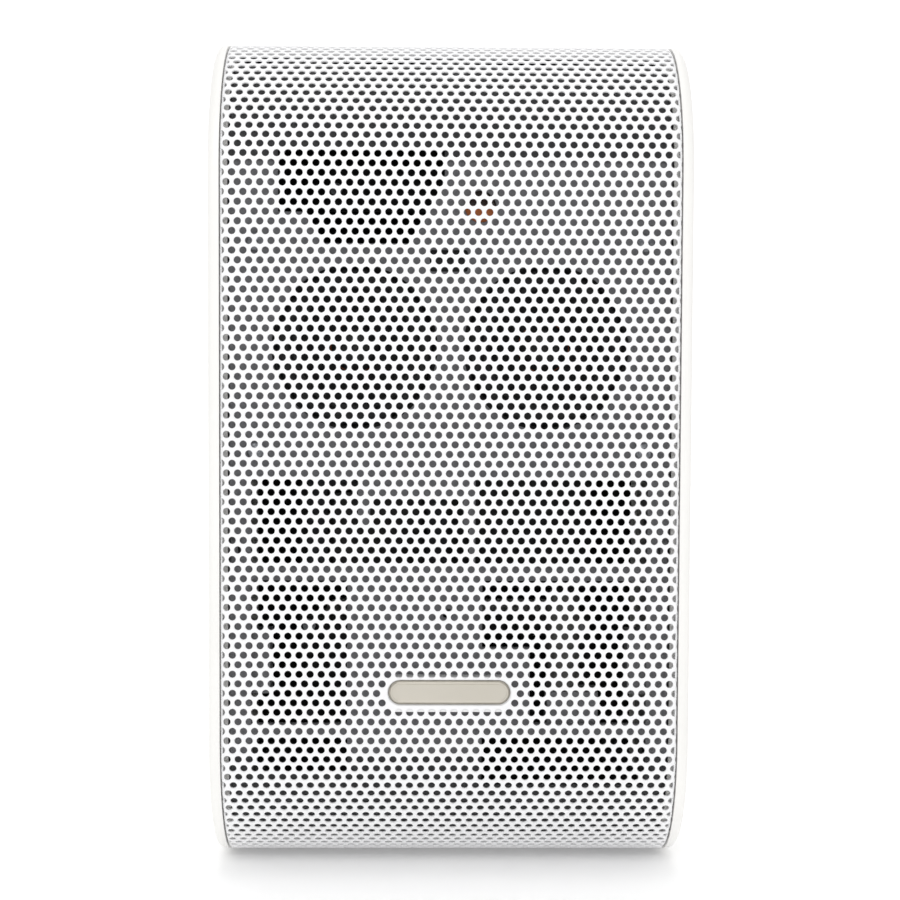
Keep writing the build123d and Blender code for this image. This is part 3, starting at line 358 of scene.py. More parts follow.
# ------------------------------------------------------------------ bench: hand tools for meshes
class Bench:
    """Small tools that select, shape and finish one mesh at a time."""

    @staticmethod
    def clear() -> None:
        """Leave edit mode and deselect everything."""
        if bpy.context.mode != "OBJECT":
            bpy.ops.object.mode_set(mode="OBJECT")
        bpy.ops.object.select_all(action="DESELECT")

    @staticmethod
    def hold(piece: bpy.types.Object) -> None:
        """Make one piece the only selected and active object.

        Args:
            piece: object to hold.
        """
        Bench.clear()
        piece.select_set(True)
        bpy.context.view_layer.objects.active = piece

    @staticmethod
    @contextmanager
    def editing(piece: bpy.types.Object) -> Iterator[None]:
        """Stay in edit mode on a piece, with nothing selected at the start.

        Args:
            piece: mesh object to edit.

        Yields:
            Nothing.
        """
        Bench.hold(piece)
        bpy.ops.object.mode_set(mode="EDIT")
        bpy.ops.mesh.select_all(action="DESELECT")
        yield
        bpy.ops.object.mode_set(mode="OBJECT")

    @staticmethod
    def pick(piece: bpy.types.Object, level: str, test: Callable[[np.ndarray], np.ndarray]) -> None:
        """Select vertices, edges or faces by the place of their middle, from inside edit mode.

        Args:
            piece: mesh object in edit mode.
            level: VERT, EDGE or FACE.
            test: takes an array of middles, gives an array of True and False.
        """
        bpy.ops.mesh.select_all(action="DESELECT")
        bpy.ops.mesh.select_mode(type=level)
        bpy.ops.object.mode_set(mode="OBJECT")
        mesh = piece.data
        points = np.empty(len(mesh.vertices) * 3)
        mesh.vertices.foreach_get("co", points)
        points = points.reshape(-1, 3)
        if level == "VERT":
            chosen = test(points)
            mesh.vertices.foreach_set("select", chosen)
        elif level == "EDGE":
            ends = np.empty(len(mesh.edges) * 2, int)
            mesh.edges.foreach_get("vertices", ends)
            chosen = test(points[ends.reshape(-1, 2)].mean(1))
            mesh.edges.foreach_set("select", chosen)
        else:
            middles = np.empty(len(mesh.polygons) * 3)
            mesh.polygons.foreach_get("center", middles)
            chosen = test(middles.reshape(-1, 3))
            mesh.polygons.foreach_set("select", chosen)
        bpy.ops.object.mode_set(mode="EDIT")

    @staticmethod
    def points(piece: bpy.types.Object) -> np.ndarray:
        """Places of a mesh's vertices, one row each.

        Args:
            piece: mesh object.

        Returns:
            Array with one row per vertex.
        """
        places = np.empty(len(piece.data.vertices) * 3)
        piece.data.vertices.foreach_get("co", places)
        return places.reshape(-1, 3)

    @staticmethod
    def put_points(piece: bpy.types.Object, places: np.ndarray) -> None:
        """Write new places for a mesh's vertices.

        Args:
            piece: mesh object.
            places: array with one row per vertex.
        """
        piece.data.vertices.foreach_set("co", places.reshape(-1))
        piece.data.update()

    @staticmethod
    def modify(piece: bpy.types.Object, kind: str, **settings) -> None:
        """Add one modifier and apply it.

        Args:
            piece: mesh object.
            kind: Blender's name for the modifier type.
            settings: the modifier's properties.
        """
        Bench.hold(piece)
        modifier = piece.modifiers.new(kind.lower(), kind)
        for name, value in settings.items():
            setattr(modifier, name, value)
        bpy.ops.object.modifier_apply(modifier=modifier.name)

    @staticmethod
    def settle(piece: bpy.types.Object) -> None:
        """Put a piece's place, turn and scale into its mesh.

        Args:
            piece: object to settle.
        """
        Bench.hold(piece)
        bpy.ops.object.transform_apply(location=True, rotation=True, scale=True)

    @staticmethod
    def close_up(piece: bpy.types.Object, merge_mm: float = 0.002) -> None:
        """Merge doubled vertices and point every face outwards.

        Args:
            piece: mesh object.
            merge_mm: vertices closer than this become one.
        """
        with Bench.editing(piece):
            bpy.ops.mesh.select_all(action="SELECT")
            bpy.ops.mesh.remove_doubles(threshold=merge_mm * MM)
            bpy.ops.mesh.normals_make_consistent(inside=False)

    @staticmethod
    def smooth(piece: bpy.types.Object, degrees: float = 30.0) -> None:
        """Shade smooth, and keep edges sharper than an angle crisp.

        Args:
            piece: mesh object.
            degrees: the sharpest angle that still shades smooth.
        """
        Bench.hold(piece)
        bpy.ops.object.shade_smooth_by_angle(angle=math.radians(degrees))

    @staticmethod
    def level_walls(piece: bpy.types.Object, degrees: float) -> None:
        """Give corners the normal of the widest wall they touch, so that flat walls shade flat up to their holes.

        Args:
            piece: mesh object made of triangles.
            degrees: faces that meet at more than this stay crisp.
        """
        mesh = piece.data
        count = len(mesh.polygons)
        normals, centres, areas = np.zeros(count * 3), np.zeros(count * 3), np.zeros(count)
        mesh.polygons.foreach_get("normal", normals)
        mesh.polygons.foreach_get("center", centres)
        mesh.polygons.foreach_get("area", areas)
        normals, centres = normals.reshape(-1, 3), centres.reshape(-1, 3)
        reach = np.einsum("ij,ij->i", normals, centres) / MM
        planes = np.column_stack([np.round(normals, 3), np.round(reach, 2)])
        _, plane = np.unique(planes, axis=0, return_inverse=True)
        plane = plane.reshape(-1)
        weight = np.bincount(plane, weights=areas / MM ** 2)[plane] ** 2
        face_of = np.zeros(len(mesh.loops), dtype=int)
        touching: dict[int, list[int]] = {}
        for face in mesh.polygons:
            for loop in face.loop_indices:
                face_of[loop] = face.index
                touching.setdefault(mesh.loops[loop].vertex_index, []).append(loop)
        corners = np.zeros((len(mesh.loops), 3))
        limit = math.cos(math.radians(degrees))
        for loops in touching.values():
            faces = face_of[loops]
            near = (normals[faces] @ normals[faces].T > limit) * weight[faces]
            corners[loops] = near @ normals[faces]
        corners /= np.linalg.norm(corners, axis=1, keepdims=True)
        mesh.normals_split_custom_set(corners.tolist())

    @staticmethod
    def turned(name: str, profile: Sequence[tuple[float, float]], sides: int = 48) -> bpy.types.Object:
        """Turn a profile round the Z axis, one extruded ring after another.

        Args:
            name: the new piece's name.
            profile: (radius, height) points in millimetres; a ring ends where it began, and a solid
                piece's two ends are closed with a face.
            sides: how many flats a full turn has.

        Returns:
            The new mesh object, in metres.
        """
        radius, height = profile[0]
        Bench.clear()
        bpy.ops.mesh.primitive_circle_add(vertices=sides, radius=radius * MM, location=(0, 0, 0))
        piece = bpy.context.object
        piece.name = name
        with Bench.editing(piece):
            bpy.ops.mesh.select_all(action="SELECT")
            bpy.ops.transform.translate(value=(0, 0, height * MM))
            for next_radius, next_height in profile[1:]:
                lift = (next_height - height) * MM
                bpy.ops.mesh.extrude_edges_move(TRANSFORM_OT_translate={"value": (0, 0, lift)})
                bpy.ops.transform.resize(value=(next_radius / radius, next_radius / radius, 1))
                radius, height = next_radius, next_height
            bpy.ops.mesh.select_all(action="SELECT")
            bpy.ops.mesh.remove_doubles(threshold=0.002 * MM)
            bpy.ops.mesh.select_all(action="SELECT")
            bpy.ops.mesh.fill_holes(sides=0)
            bpy.ops.mesh.select_all(action="SELECT")
            bpy.ops.mesh.normals_make_consistent(inside=False)
        return piece

    @staticmethod
    def face_along(piece: bpy.types.Object, place: Vector, outward: Vector) -> None:
        """Turn a piece's +Z to an outward direction and put its origin's point at a place.

        Args:
            piece: mesh object whose own place is the origin.
            place: where its origin's point goes.
            outward: where its +Z goes.
        """
        turn = outward.to_track_quat("Z", "Y").to_matrix().to_4x4()
        piece.data.transform(Matrix.Translation(place) @ turn)
        piece.data.update()

    @staticmethod
    def twin(piece: bpy.types.Object, name: str) -> bpy.types.Object:
        """Copy a piece with a mesh of its own.

        Args:
            piece: mesh object to copy.
            name: name of the copy.

        Returns:
            The copy.
        """
        copy = piece.copy()
        copy.data = piece.data.copy()
        copy.name = name
        bpy.context.scene.collection.objects.link(copy)
        return copy

    @staticmethod
    def join(pieces: Sequence[bpy.types.Object]) -> bpy.types.Object:
        """Join pieces into the first of them.

        Args:
            pieces: mesh objects; the first takes in the others.

        Returns:
            The joined object.
        """
        Bench.hold(pieces[0])
        for piece in pieces:
            piece.select_set(True)
        bpy.ops.object.join()
        return pieces[0]

    @staticmethod
    def cast_of(node: str, name: str) -> bpy.types.Object:
        """Copy a frame part's mesh as a new piece, with its loose triangles merged.

        Args:
            node: the frame part's name.
            name: the new piece's name.

        Returns:
            The new mesh object.
        """
        source = frame["nodes"][node]
        piece = bpy.data.objects.new(name, source.data.copy())
        piece.data.materials.clear()
        bpy.context.scene.collection.objects.link(piece)
        with Bench.editing(piece):
            bpy.ops.mesh.select_all(action="SELECT")
            bpy.ops.mesh.remove_doubles(threshold=0.001 * MM)
        return piece


def hand_over(
    piece: bpy.types.Object,
    name: str,
    finish: Finish,
    body: str | None = CASING,
    stands_for: Sequence[str] = (),
) -> bpy.types.Object:
    """Name a finished piece, dress it and fix it to its body.

    Args:
        piece: mesh object with its place in its mesh.
        name: piece name.
        finish: what it is made of.
        body: frame body that carries it, or None for a soft piece that is left without one.
        stands_for: frame parts that it replaces.

    Returns:
        The same object.
    """
    piece.name = name
    piece.data.name = name
    piece.data.materials.clear()
    piece.data.materials.append(finish.build())
    if body:
        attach(piece, body)
    if stands_for:
        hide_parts(*stands_for)
    LOG.info("%s: %d faces", name, len(piece.data.polygons))
    return piece


# ------------------------------------------------------------------ perforated sheet
@dataclass
class PerforatedSheet:
    """Steel sheet punched with staggered round holes, bent round the front and folded in at both sides.

    It is made flat first, with X across, Y up the sheet and Z out of its face, and is bent last.
    """

    pitch: float = 3.0
    hole_radius: float = 1.0
    rim: float = 0.12
    thickness: float = 0.5
    bend_radius: float = 38.2
    fold_radius: float = 0.9
    flange: float = 4.0
    lattice_shift: float = -0.2
    lattice_height: float = 104.2
    hole_sides: int = 12
    cells_across: int = 46
    rows: dict[str, tuple[int, int]] = field(default_factory=lambda: {
        "grille_lower": (-50, 36), "grille_middle": (-14, 36), "grille_upper": (22, 38),
    })
    badge_rows: dict[int, float] = field(default_factory=lambda: {-19: 16.5, -20: 18.0, -21: 16.5})
    badge_gap: float = 0.35
    badge_corner: float = 16.5
    corner_ease: float = 0.5
    badge_zone: float = 20.0
    badge_zone_rows: float = 2.2

    def __post_init__(self) -> None:
        """Take the sheet's limits from the frame."""
        low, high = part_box("grille_sheet")
        badge_low, badge_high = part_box("badge_plate")
        self.row_step = self.pitch * math.sqrt(3) / 2
        self.half_width = high.x / MM
        self.front = low.y / MM
        self.bend_low = low.z / MM + self.bend_radius
        self.flat_length = high.z / MM - self.bend_radius - self.bend_low
        self.return_length = high.y / MM - self.front - self.bend_radius
        self.badge_centre = ((badge_low + badge_high) / 2) / MM
        self.badge_size = (badge_high - badge_low) / MM
        self.edge = self.half_width - self.fold_radius + self.fold_radius * math.pi / 2 + self.flange - self.fold_radius
        self.arc = self.bend_radius * math.pi / 2

    def build(self) -> None:
        """Make the three courses of the sheet and hand them over."""
        for name, (first_row, count) in self.rows.items():
            course = self._flat_course(name, first_row, count)
            self._trim(course)
            if first_row <= min(self.badge_rows) < first_row + count:
                self._open_badge_slot(course)
            self._bend(course)
            Bench.close_up(course)
            Bench.smooth(course, 35)
            hand_over(course, name, POWDER_COATED_STEEL, stands_for=["grille_sheet"])

    def _cell(self, name: str) -> bpy.types.Object:
        """Model one hole with the web round it, centred on its hole.

        Args:
            name: name of the new piece.

        Returns:
            Mesh of the web's face, the rolled rim, the hole's wall and the web's back.
        """
        Bench.clear()
        bpy.ops.mesh.primitive_circle_add(
            vertices=self.hole_sides, radius=self.hole_radius, fill_type="NOTHING", location=(0, 0, 0)
        )
        cell = bpy.context.object
        cell.name = name
        with Bench.editing(cell):
            Bench.pick(cell, "EDGE", lambda middle: middle[:, 2] > -9)
            bpy.ops.transform.translate(value=(0, 0, -self.thickness))
            bpy.ops.mesh.extrude_region_move(
                TRANSFORM_OT_translate={"value": (0, 0, self.thickness - self.rim)}
            )
            bpy.ops.mesh.extrude_region_move(TRANSFORM_OT_translate={"value": (0, 0, self.rim)})
            opened = 1 + self.rim / self.hole_radius
            bpy.ops.transform.resize(value=(opened, opened, 1))
            bpy.ops.mesh.extrude_region_move(TRANSFORM_OT_translate={"value": (0, 0, 0)})
            bpy.ops.transform.resize(value=(2, 2, 1))
            Bench.pick(cell, "EDGE", lambda middle: middle[:, 2] < -self.thickness + 0.001)
            bpy.ops.mesh.extrude_region_move(TRANSFORM_OT_translate={"value": (0, 0, 0)})
            bpy.ops.transform.resize(value=(2, 2, 1))
        places = Bench.points(cell)
        reach = np.hypot(places[:, 0], places[:, 1])
        outer = reach > self.hole_radius * 1.5
        places[outer, :2] = self._brick_edge(places[outer, :2])
        Bench.put_points(cell, places)
        return cell

    def _brick_edge(self, places: np.ndarray) -> np.ndarray:
        """Move a ring of points out to the edge of a brick, with points at its corners and mid sides.

        Args:
            places: points on a circle, every 30 degrees.

        Returns:
            The same points on the brick.
        """
        half_across, half_up = self.pitch / 2, self.row_step / 2
        turn = np.round(np.degrees(np.arctan2(places[:, 1], places[:, 0]))).astype(int)
        side_x, side_y = np.sign(np.round(places[:, 0], 6)), np.sign(np.round(places[:, 1], 6))
        leaning = np.abs(turn) % 180
        leaning = np.minimum(leaning, 180 - leaning)
        across = np.select([leaning <= 30, leaning == 60], [half_across, half_across / 2], 0.0)
        up = np.select([leaning == 0], [0.0], half_up)
        return np.stack([side_x * across, side_y * up], 1)

    def _flat_course(self, name: str, first_row: int, count: int) -> bpy.types.Object:
        """Repeat the cell over a course of rows, each second row moved by half a pitch.

        Args:
            name: name of the course.
            first_row: index of its lowest row, which is an even number.
            count: number of rows, which is even.

        Returns:
            Flat course in millimetres.
        """
        course = self._cell(name)
        places = Bench.points(course)
        start_x = -(self.cells_across - 1) / 2 * self.pitch + self.lattice_shift
        start_y = self.lattice_height - self.bend_low + first_row * self.row_step
        Bench.put_points(course, places + np.array([start_x, start_y, 0]))
        repeat = dict(use_relative_offset=False, use_constant_offset=True)
        Bench.modify(
            course, "ARRAY", count=2, constant_offset_displace=(-self.pitch / 2, self.row_step, 0), **repeat
        )
        Bench.modify(
            course, "ARRAY", count=self.cells_across, constant_offset_displace=(self.pitch, 0, 0), **repeat
        )
        Bench.modify(
            course, "ARRAY", count=count // 2, constant_offset_displace=(0, 2 * self.row_step, 0), **repeat
        )
        with Bench.editing(course):
            bpy.ops.mesh.select_all(action="SELECT")
            bpy.ops.mesh.remove_doubles(threshold=0.001)
        return course

    def _trim(self, course: bpy.types.Object) -> None:
        """Cut the course straight at the folded flanges' edges and at the sheet's two ends.

        Args:
            course: flat course in millimetres.
        """
        end = self.arc + self.return_length
        cuts = (
            ((self.edge, 0, 0), (1, 0, 0)),
            ((-self.edge, 0, 0), (-1, 0, 0)),
            ((0, self.flat_length + end, 0), (0, 1, 0)),
            ((0, -end, 0), (0, -1, 0)),
        )
        for point, outward in cuts:
            with Bench.editing(course):
                bpy.ops.mesh.select_all(action="SELECT")
                bpy.ops.mesh.bisect(
                    plane_co=point, plane_no=outward, use_fill=True, clear_outer=True, threshold=0.0005
                )

    def _open_badge_slot(self, course: bpy.types.Object) -> None:
        """Leave the rows round the badge unpunched and cut its pill slot through them.

        Args:
            course: flat course in millimetres.
        """
        rows = {
            self.lattice_height - self.bend_low + row * self.row_step: reach
            for row, reach in self.badge_rows.items()
        }

        def unpunched(middle: np.ndarray) -> np.ndarray:
            """Tell which faces lie in the rows round the badge.

            Args:
                middle: middles of the faces, one row each.

            Returns:
                True for each face in those rows.
            """
            inside = np.zeros(len(middle), bool)
            for height, reach in rows.items():
                level = np.abs(middle[:, 1] - height) < self.row_step / 2
                inside |= level & (np.abs(middle[:, 0] - self.lattice_shift) < reach)
            return inside

        with Bench.editing(course):
            Bench.pick(course, "FACE", unpunched)
            bpy.ops.mesh.delete(type="FACE")
        places = Bench.points(course)
        row_edge = self.row_step / 2
        middle_height = self.lattice_height - self.bend_low + sorted(self.badge_rows)[1] * self.row_step
        corner = (np.abs(np.abs(places[:, 1] - middle_height) - row_edge) < 0.01) & (
            np.abs(np.abs(places[:, 0] - self.lattice_shift) - self.badge_corner) < 0.01
        )
        places[corner, 0] += np.sign(places[corner, 0]) * self.corner_ease
        Bench.put_points(course, places)

        slot_radius = self.badge_size.z / 2 + self.badge_gap
        straight = self.badge_size.x / 2 - self.badge_size.z / 2
        height = self.badge_centre.z - self.bend_low
        Bench.clear()
        bpy.ops.mesh.primitive_circle_add(vertices=48, radius=slot_radius, fill_type="NOTHING", location=(0, 0, 0))
        slot = bpy.context.object
        places = Bench.points(slot)
        places[:, 0] += np.where(places[:, 0] > 1e-4, straight, np.where(places[:, 0] < -1e-4, -straight, 0))
        Bench.put_points(slot, places + np.array([0, height, 0]))
        with Bench.editing(slot):
            Bench.pick(slot, "EDGE", lambda middle: np.abs(middle[:, 0]) < straight)
            bpy.ops.mesh.subdivide(number_cuts=9)
            bpy.ops.mesh.select_all(action="SELECT")
            bpy.ops.mesh.extrude_region_move(TRANSFORM_OT_translate={"value": (0, 0, -self.thickness)})
        Bench.hold(course)
        slot.select_set(True)
        bpy.ops.object.join()
        for level in (0.0, -self.thickness):
            with Bench.editing(course):
                self._pick_open_edges(course, level, height)
                bpy.ops.mesh.fill(use_beauty=True)

    def _pick_open_edges(self, course: bpy.types.Object, level: float, height: float) -> None:
        """Select the open edges round the badge on the sheet's face or on its back.

        Args:
            course: flat course in edit mode.
            level: Z of the face.
            height: Y of the badge's middle.
        """
        bpy.ops.mesh.select_mode(type="EDGE")
        bpy.ops.mesh.select_non_manifold(extend=False, use_non_contiguous=False, use_multi_face=False, use_verts=False)
        bpy.ops.object.mode_set(mode="OBJECT")
        places = Bench.points(course)
        near = self.row_step * self.badge_zone_rows
        for edge in course.data.edges:
            if edge.select:
                middle = places[list(edge.vertices)].mean(0)
                on_level = abs(middle[2] - level) < 0.01
                edge.select = bool(
                    on_level and abs(middle[1] - height) < near and abs(middle[0]) < self.badge_zone
                )
        bpy.ops.object.mode_set(mode="EDIT")

    def _bend(self, course: bpy.types.Object) -> None:
        """Fold the side flanges in, then bend the sheet round its profile, and turn millimetres to metres.

        Args:
            course: flat course in millimetres, which comes back bent and in metres.
        """
        places = Bench.points(course)
        across, along, out = places.T
        sunk = -out
        fold_start = self.half_width - self.fold_radius
        past = np.clip(np.abs(across) - fold_start, 0, None)
        turn = np.minimum(past / self.fold_radius, math.pi / 2)
        beyond = past - turn * self.fold_radius
        x = np.minimum(np.abs(across), fold_start) + (self.fold_radius - sunk) * np.sin(turn)
        inset = self.fold_radius - (self.fold_radius - sunk) * np.cos(turn) + beyond
        above = np.clip(along - self.flat_length, 0, None)
        below = np.clip(-along, 0, None)
        bend = np.minimum((above + below) / self.bend_radius, math.pi / 2)
        straight = above + below - bend * self.bend_radius
        reach = self.bend_radius - inset
        upward = np.where(above > 0, 1.0, -1.0)
        y = self.front + self.bend_radius - reach * np.cos(bend) + straight
        z = self.bend_low + np.clip(along, 0, self.flat_length) + upward * reach * np.sin(bend)
        Bench.put_points(course, np.stack([x * np.sign(across), y, z], 1) * MM)


# ------------------------------------------------------------------ casing mouldings
@dataclass
class Casing:
    """End caps and rear housing: smooth casts of the frame's mouldings."""

    smooth_angle: float = 32.0
    parts: tuple[str, ...] = ("left_end_cap", "right_end_cap", "rear_housing")
    middle: tuple[float, float, float] = (0.0, 0.0, 116.3)
    back_skin: float = 53.0
    facing_in: float = -0.7

    def build(self) -> None:
        """Cast each moulding, keep its flat walls flat in the light, and hand it over."""
        for node in self.parts:
            piece = Bench.cast_of(node, f"{node}_moulding")
            Bench.smooth(piece, self.smooth_angle)
            Bench.level_walls(piece, self.smooth_angle)
            hand_over(piece, f"{node}_moulding", MOULDED_ABS, stands_for=[node])
            if node == "rear_housing":
                # The inside of the rear housing takes painted shade.
                self._paint_shade_inside(piece)

    def _paint_shade_inside(self, piece: bpy.types.Object) -> None:
        """Paint shade on the faces that look into the casing, but not on the recesses of the back wall.

        Args:
            piece: the rear housing's moulding, already handed over.
        """
        mesh = piece.data
        mesh.materials.append(INSIDE_PAINTED_SHADE.build())
        normals = np.zeros(len(mesh.polygons) * 3)
        centres = np.zeros(len(mesh.polygons) * 3)
        mesh.polygons.foreach_get("normal", normals)
        mesh.polygons.foreach_get("center", centres)
        normals, centres = normals.reshape(-1, 3), centres.reshape(-1, 3) / MM
        heights = Bench.points(piece)[:, 1] / MM
        rear = np.array([max(heights[corner] for corner in face.vertices) for face in mesh.polygons])
        inward = np.einsum("ij,ij->i", normals, centres - np.array(self.middle)) < 0
        # Painted shade mask: inward faces, leaving out the back wall's recesses unless they face forward.
        painted_shade_faces = inward & ((rear < self.back_skin) | (normals[:, 1] < self.facing_in))
        mesh.polygons.foreach_set("material_index", painted_shade_faces.astype(np.int32))


@dataclass
class Badge:
    """Blank pill badge with a bevel round a satin face."""

    bevel: float = 0.55
    sink: float = 0.12
    lip: float = 0.35

    def build(self) -> None:
        """Model the pill and hand it over."""
        low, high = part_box("badge_plate")
        centre = (low + high) / 2
        radius = (high.z - low.z) / 2
        straight = (high.x - low.x) / 2 - radius
        depth = high.y - low.y
        Bench.clear()
        bpy.ops.mesh.primitive_circle_add(vertices=64, radius=radius, fill_type="NGON", location=(0, 0, 0))
        plate = bpy.context.object
        places = Bench.points(plate)
        places[:, 0] += np.where(places[:, 0] > 1e-7, straight, np.where(places[:, 0] < -1e-7, -straight, 0))
        Bench.put_points(plate, places)
        with Bench.editing(plate):
            bpy.ops.mesh.select_all(action="SELECT")
            bpy.ops.mesh.extrude_region_move(
                TRANSFORM_OT_translate={"value": (0, 0, depth - self.bevel * MM)}
            )
            bpy.ops.mesh.extrude_region_move(TRANSFORM_OT_translate={"value": (0, 0, self.bevel * MM)})
            Bench.pick(plate, "FACE", lambda middle: middle[:, 2] > depth - FLAT_STEP)
        places = Bench.points(plate)
        top = places[:, 2] > depth - FLAT_STEP
        places[top] = self._shrunk(places[top], straight, radius, self.bevel * MM)
        Bench.put_points(plate, places)
        with Bench.editing(plate):
            Bench.pick(plate, "FACE", lambda middle: middle[:, 2] > depth - FLAT_STEP)
            bpy.ops.mesh.inset(thickness=self.lip * MM, depth=0)
            bpy.ops.mesh.inset(thickness=self.sink * MM, depth=-self.sink * MM)
        turn = Matrix.Rotation(math.pi / 2, 4, "X")
        plate.data.transform(Matrix.Translation((centre.x, high.y, centre.z)) @ turn)
        Bench.close_up(plate)
        Bench.smooth(plate, 25)
        hand_over(plate, "badge_pill", ANODISED_ALUMINIUM, stands_for=["badge_plate"])

    @staticmethod
    def _shrunk(places: np.ndarray, straight: float, radius: float, by: float) -> np.ndarray:
        """Move a pill's edge points inwards by a distance.

        Args:
            places: points on the pill's edge.
            straight: half the length between its round ends' centres.
            radius: radius of its ends.
            by: how far the points move.

        Returns:
            The moved points.
        """
        hub = np.clip(places[:, 0], -straight, straight)
        moved = places.copy()
        factor = (radius - by) / radius
        moved[:, 0] = hub + (places[:, 0] - hub) * factor
        moved[:, 1] = places[:, 1] * factor
        return moved


# ------------------------------------------------------------------ drivers
@dataclass
class Drivers:
    """Soft parts of the two drivers: ribbed paper cones, rubber surrounds and cloth spiders."""

    sides: tuple[str, ...] = ("left", "right")
    sectors: int = 12
    facets: int = 96
    skin: float = 0.5
    flange_bore: float = 21.5
    cone_lip: float = 1.4
    neck: float = 7.0
    ribs: tuple[float, ...] = (13.4, 11.2, 9.3)
    rib_height: float = 0.28
    spider_skin: float = 0.4
    spider_folds: int = 6
    spider_rise: float = 0.7
    spider_gap: float = 0.3
    spider_rim: float = 2.0
    surround_grip: tuple[float, float] = (0.6, 3.4)
    spider_grip: tuple[float, float] = (1.5, 0.7)
    rib_spread: float = 0.35
    cone_curve: float = 0.22

    def build(self) -> None:
        """Make both drivers' soft parts."""
        for side in self.sides:
            self._cone(side)
            self._soft_ring(side, "surround", self._surround_profile(side), BUTYL_RUBBER)
            self._soft_ring(side, "spider", self._spider_profile(side), SPIDER_CLOTH)

    def _centre(self, node: str) -> tuple[Vector, float, float]:
        """Middle of a turned part's rear face, its radius and its depth, the last two in millimetres.

        Args:
            node: name of a turned frame part.

        Returns:
            The middle, the radius and the depth.
        """
        low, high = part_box(node)
        middle = Vector(((low.x + high.x) / 2, high.y, (low.z + high.z) / 2))
        return middle, (high.x - low.x) / 2 / MM, (high.y - low.y) / MM

    def _surround_profile(self, side: str) -> list[tuple[float, float]]:
        """Section of the rubber edge: flat lip, half roll, flat lip.

        Args:
            side: left or right.

        Returns:
            (radius, height) points in millimetres, ending where they began.
        """
        _, outer, depth = self._centre(f"{side}_surround")
        roll = depth - self.skin / 2
        middle = self.flange_bore - roll
        inner = middle - roll - self.cone_lip
        top, under = roll + self.skin / 2, roll - self.skin / 2
        start = math.asin(self.skin / top)
        turns = np.linspace(math.pi - start, start, 13)
        back = np.linspace(0, math.pi, 11)
        profile = [(inner, 0.0), (inner, self.skin)]
        profile += [(middle + top * math.cos(a), top * math.sin(a)) for a in turns]
        profile += [(outer, self.skin), (outer, 0.0)]
        profile += [(middle + under * math.cos(a), under * math.sin(a)) for a in back]
        return [*profile, profile[0]]

    def _spider_profile(self, side: str) -> list[tuple[float, float]]:
        """Section of the corrugated cloth disc, in rounded waves.

        Args:
            side: left or right.

        Returns:
            (radius, height) points in millimetres, ending where they began.
        """
        _, outer, _ = self._centre(f"{side}_spider")
        inner = self.neck + self.spider_gap
        places = np.linspace(inner, outer, self.spider_folds * 8 + 1)
        flat_from = outer - self.spider_rim
        wave = [
            self.spider_rise / 2 * (1 - math.cos(2 * math.pi * self.spider_folds * (r - inner) / (flat_from - inner)))
            if r < flat_from else 0.0
            for r in places
        ]
        front = [(float(r), w + self.spider_skin) for r, w in zip(places, wave)]
        rear = [(float(r), w) for r, w in zip(places, wave)][::-1]
        return [*front, *rear, front[0]]

    def _soft_ring(
        self,
        side: str,
        part: str,
        profile: Sequence[tuple[float, float]],
        finish: Finish,
    ) -> None:
        """Turn a soft ring and cut it into sectors.

        Args:
            side: left or right.
            part: surround or spider.
            profile: section of the ring.
            finish: its finish.
        """
        node = f"{side}_{part}"
        middle, outer, _ = self._centre(node)
        ring = Bench.turned(f"{node}_blank", profile, self.facets)
        Bench.face_along(ring, middle, Vector((0, -1, 0)))
        step = 2 * math.pi / self.sectors
        for index in range(self.sectors):
            sector = Bench.twin(ring, f"{node}_{index + 1:02d}")
            angle = index * step + step / 2
            for turn, keep in ((angle - step / 2, 1), (angle + step / 2, -1)):
                normal = Vector((-math.sin(turn), 0, math.cos(turn))) * keep
                with Bench.editing(sector):
                    bpy.ops.mesh.select_all(action="SELECT")
                    bpy.ops.mesh.bisect(
                        plane_co=middle, plane_no=normal, use_fill=True, clear_inner=True, threshold=1e-7
                    )
            Bench.close_up(sector)
            Bench.smooth(sector, 40)
            hand_over(sector, sector.name, finish, None, [node])
            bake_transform(sector)
        bpy.data.objects.remove(ring)

    def _cone(self, side: str) -> None:
        """Press a paper cone with three stiffening ribs round its throat.

        Args:
            side: left or right.
        """
        node = f"{side}_cone"
        middle, outer, depth = self._centre(node)
        rim = outer - self.cone_lip
        fall = depth - self.skin
        places = np.linspace(rim, self.neck, 45)

        def height(radius: float) -> float:
            """Give the height of the cone's face with its ribs.

            Args:
                radius: distance from the cone's axis, in millimetres.

            Returns:
                Height in millimetres.
            """
            along = (radius - self.neck) / (rim - self.neck)
            ribs = sum(self.rib_height * math.exp(-((radius - rib) / self.rib_spread) ** 2) for rib in self.ribs)
            return self.skin + fall * (along - self.cone_curve * math.sin(math.pi * along)) + ribs

        face = [(float(r), height(float(r))) for r in places]
        back = [(r, h - self.skin) for r, h in reversed(face)]
        face[0] = (rim, depth)
        profile = [(outer, depth), *face, *back, (outer, depth - self.skin), (outer, depth)]
        cone = Bench.turned(node, profile, 72)
        Bench.face_along(cone, middle, Vector((0, -1, 0)))
        Bench.close_up(cone)
        Bench.smooth(cone, 40)
        hand_over(cone, f"{node}_pressed", CONE_PAPER, f"{side}_cone_assembly", [node])


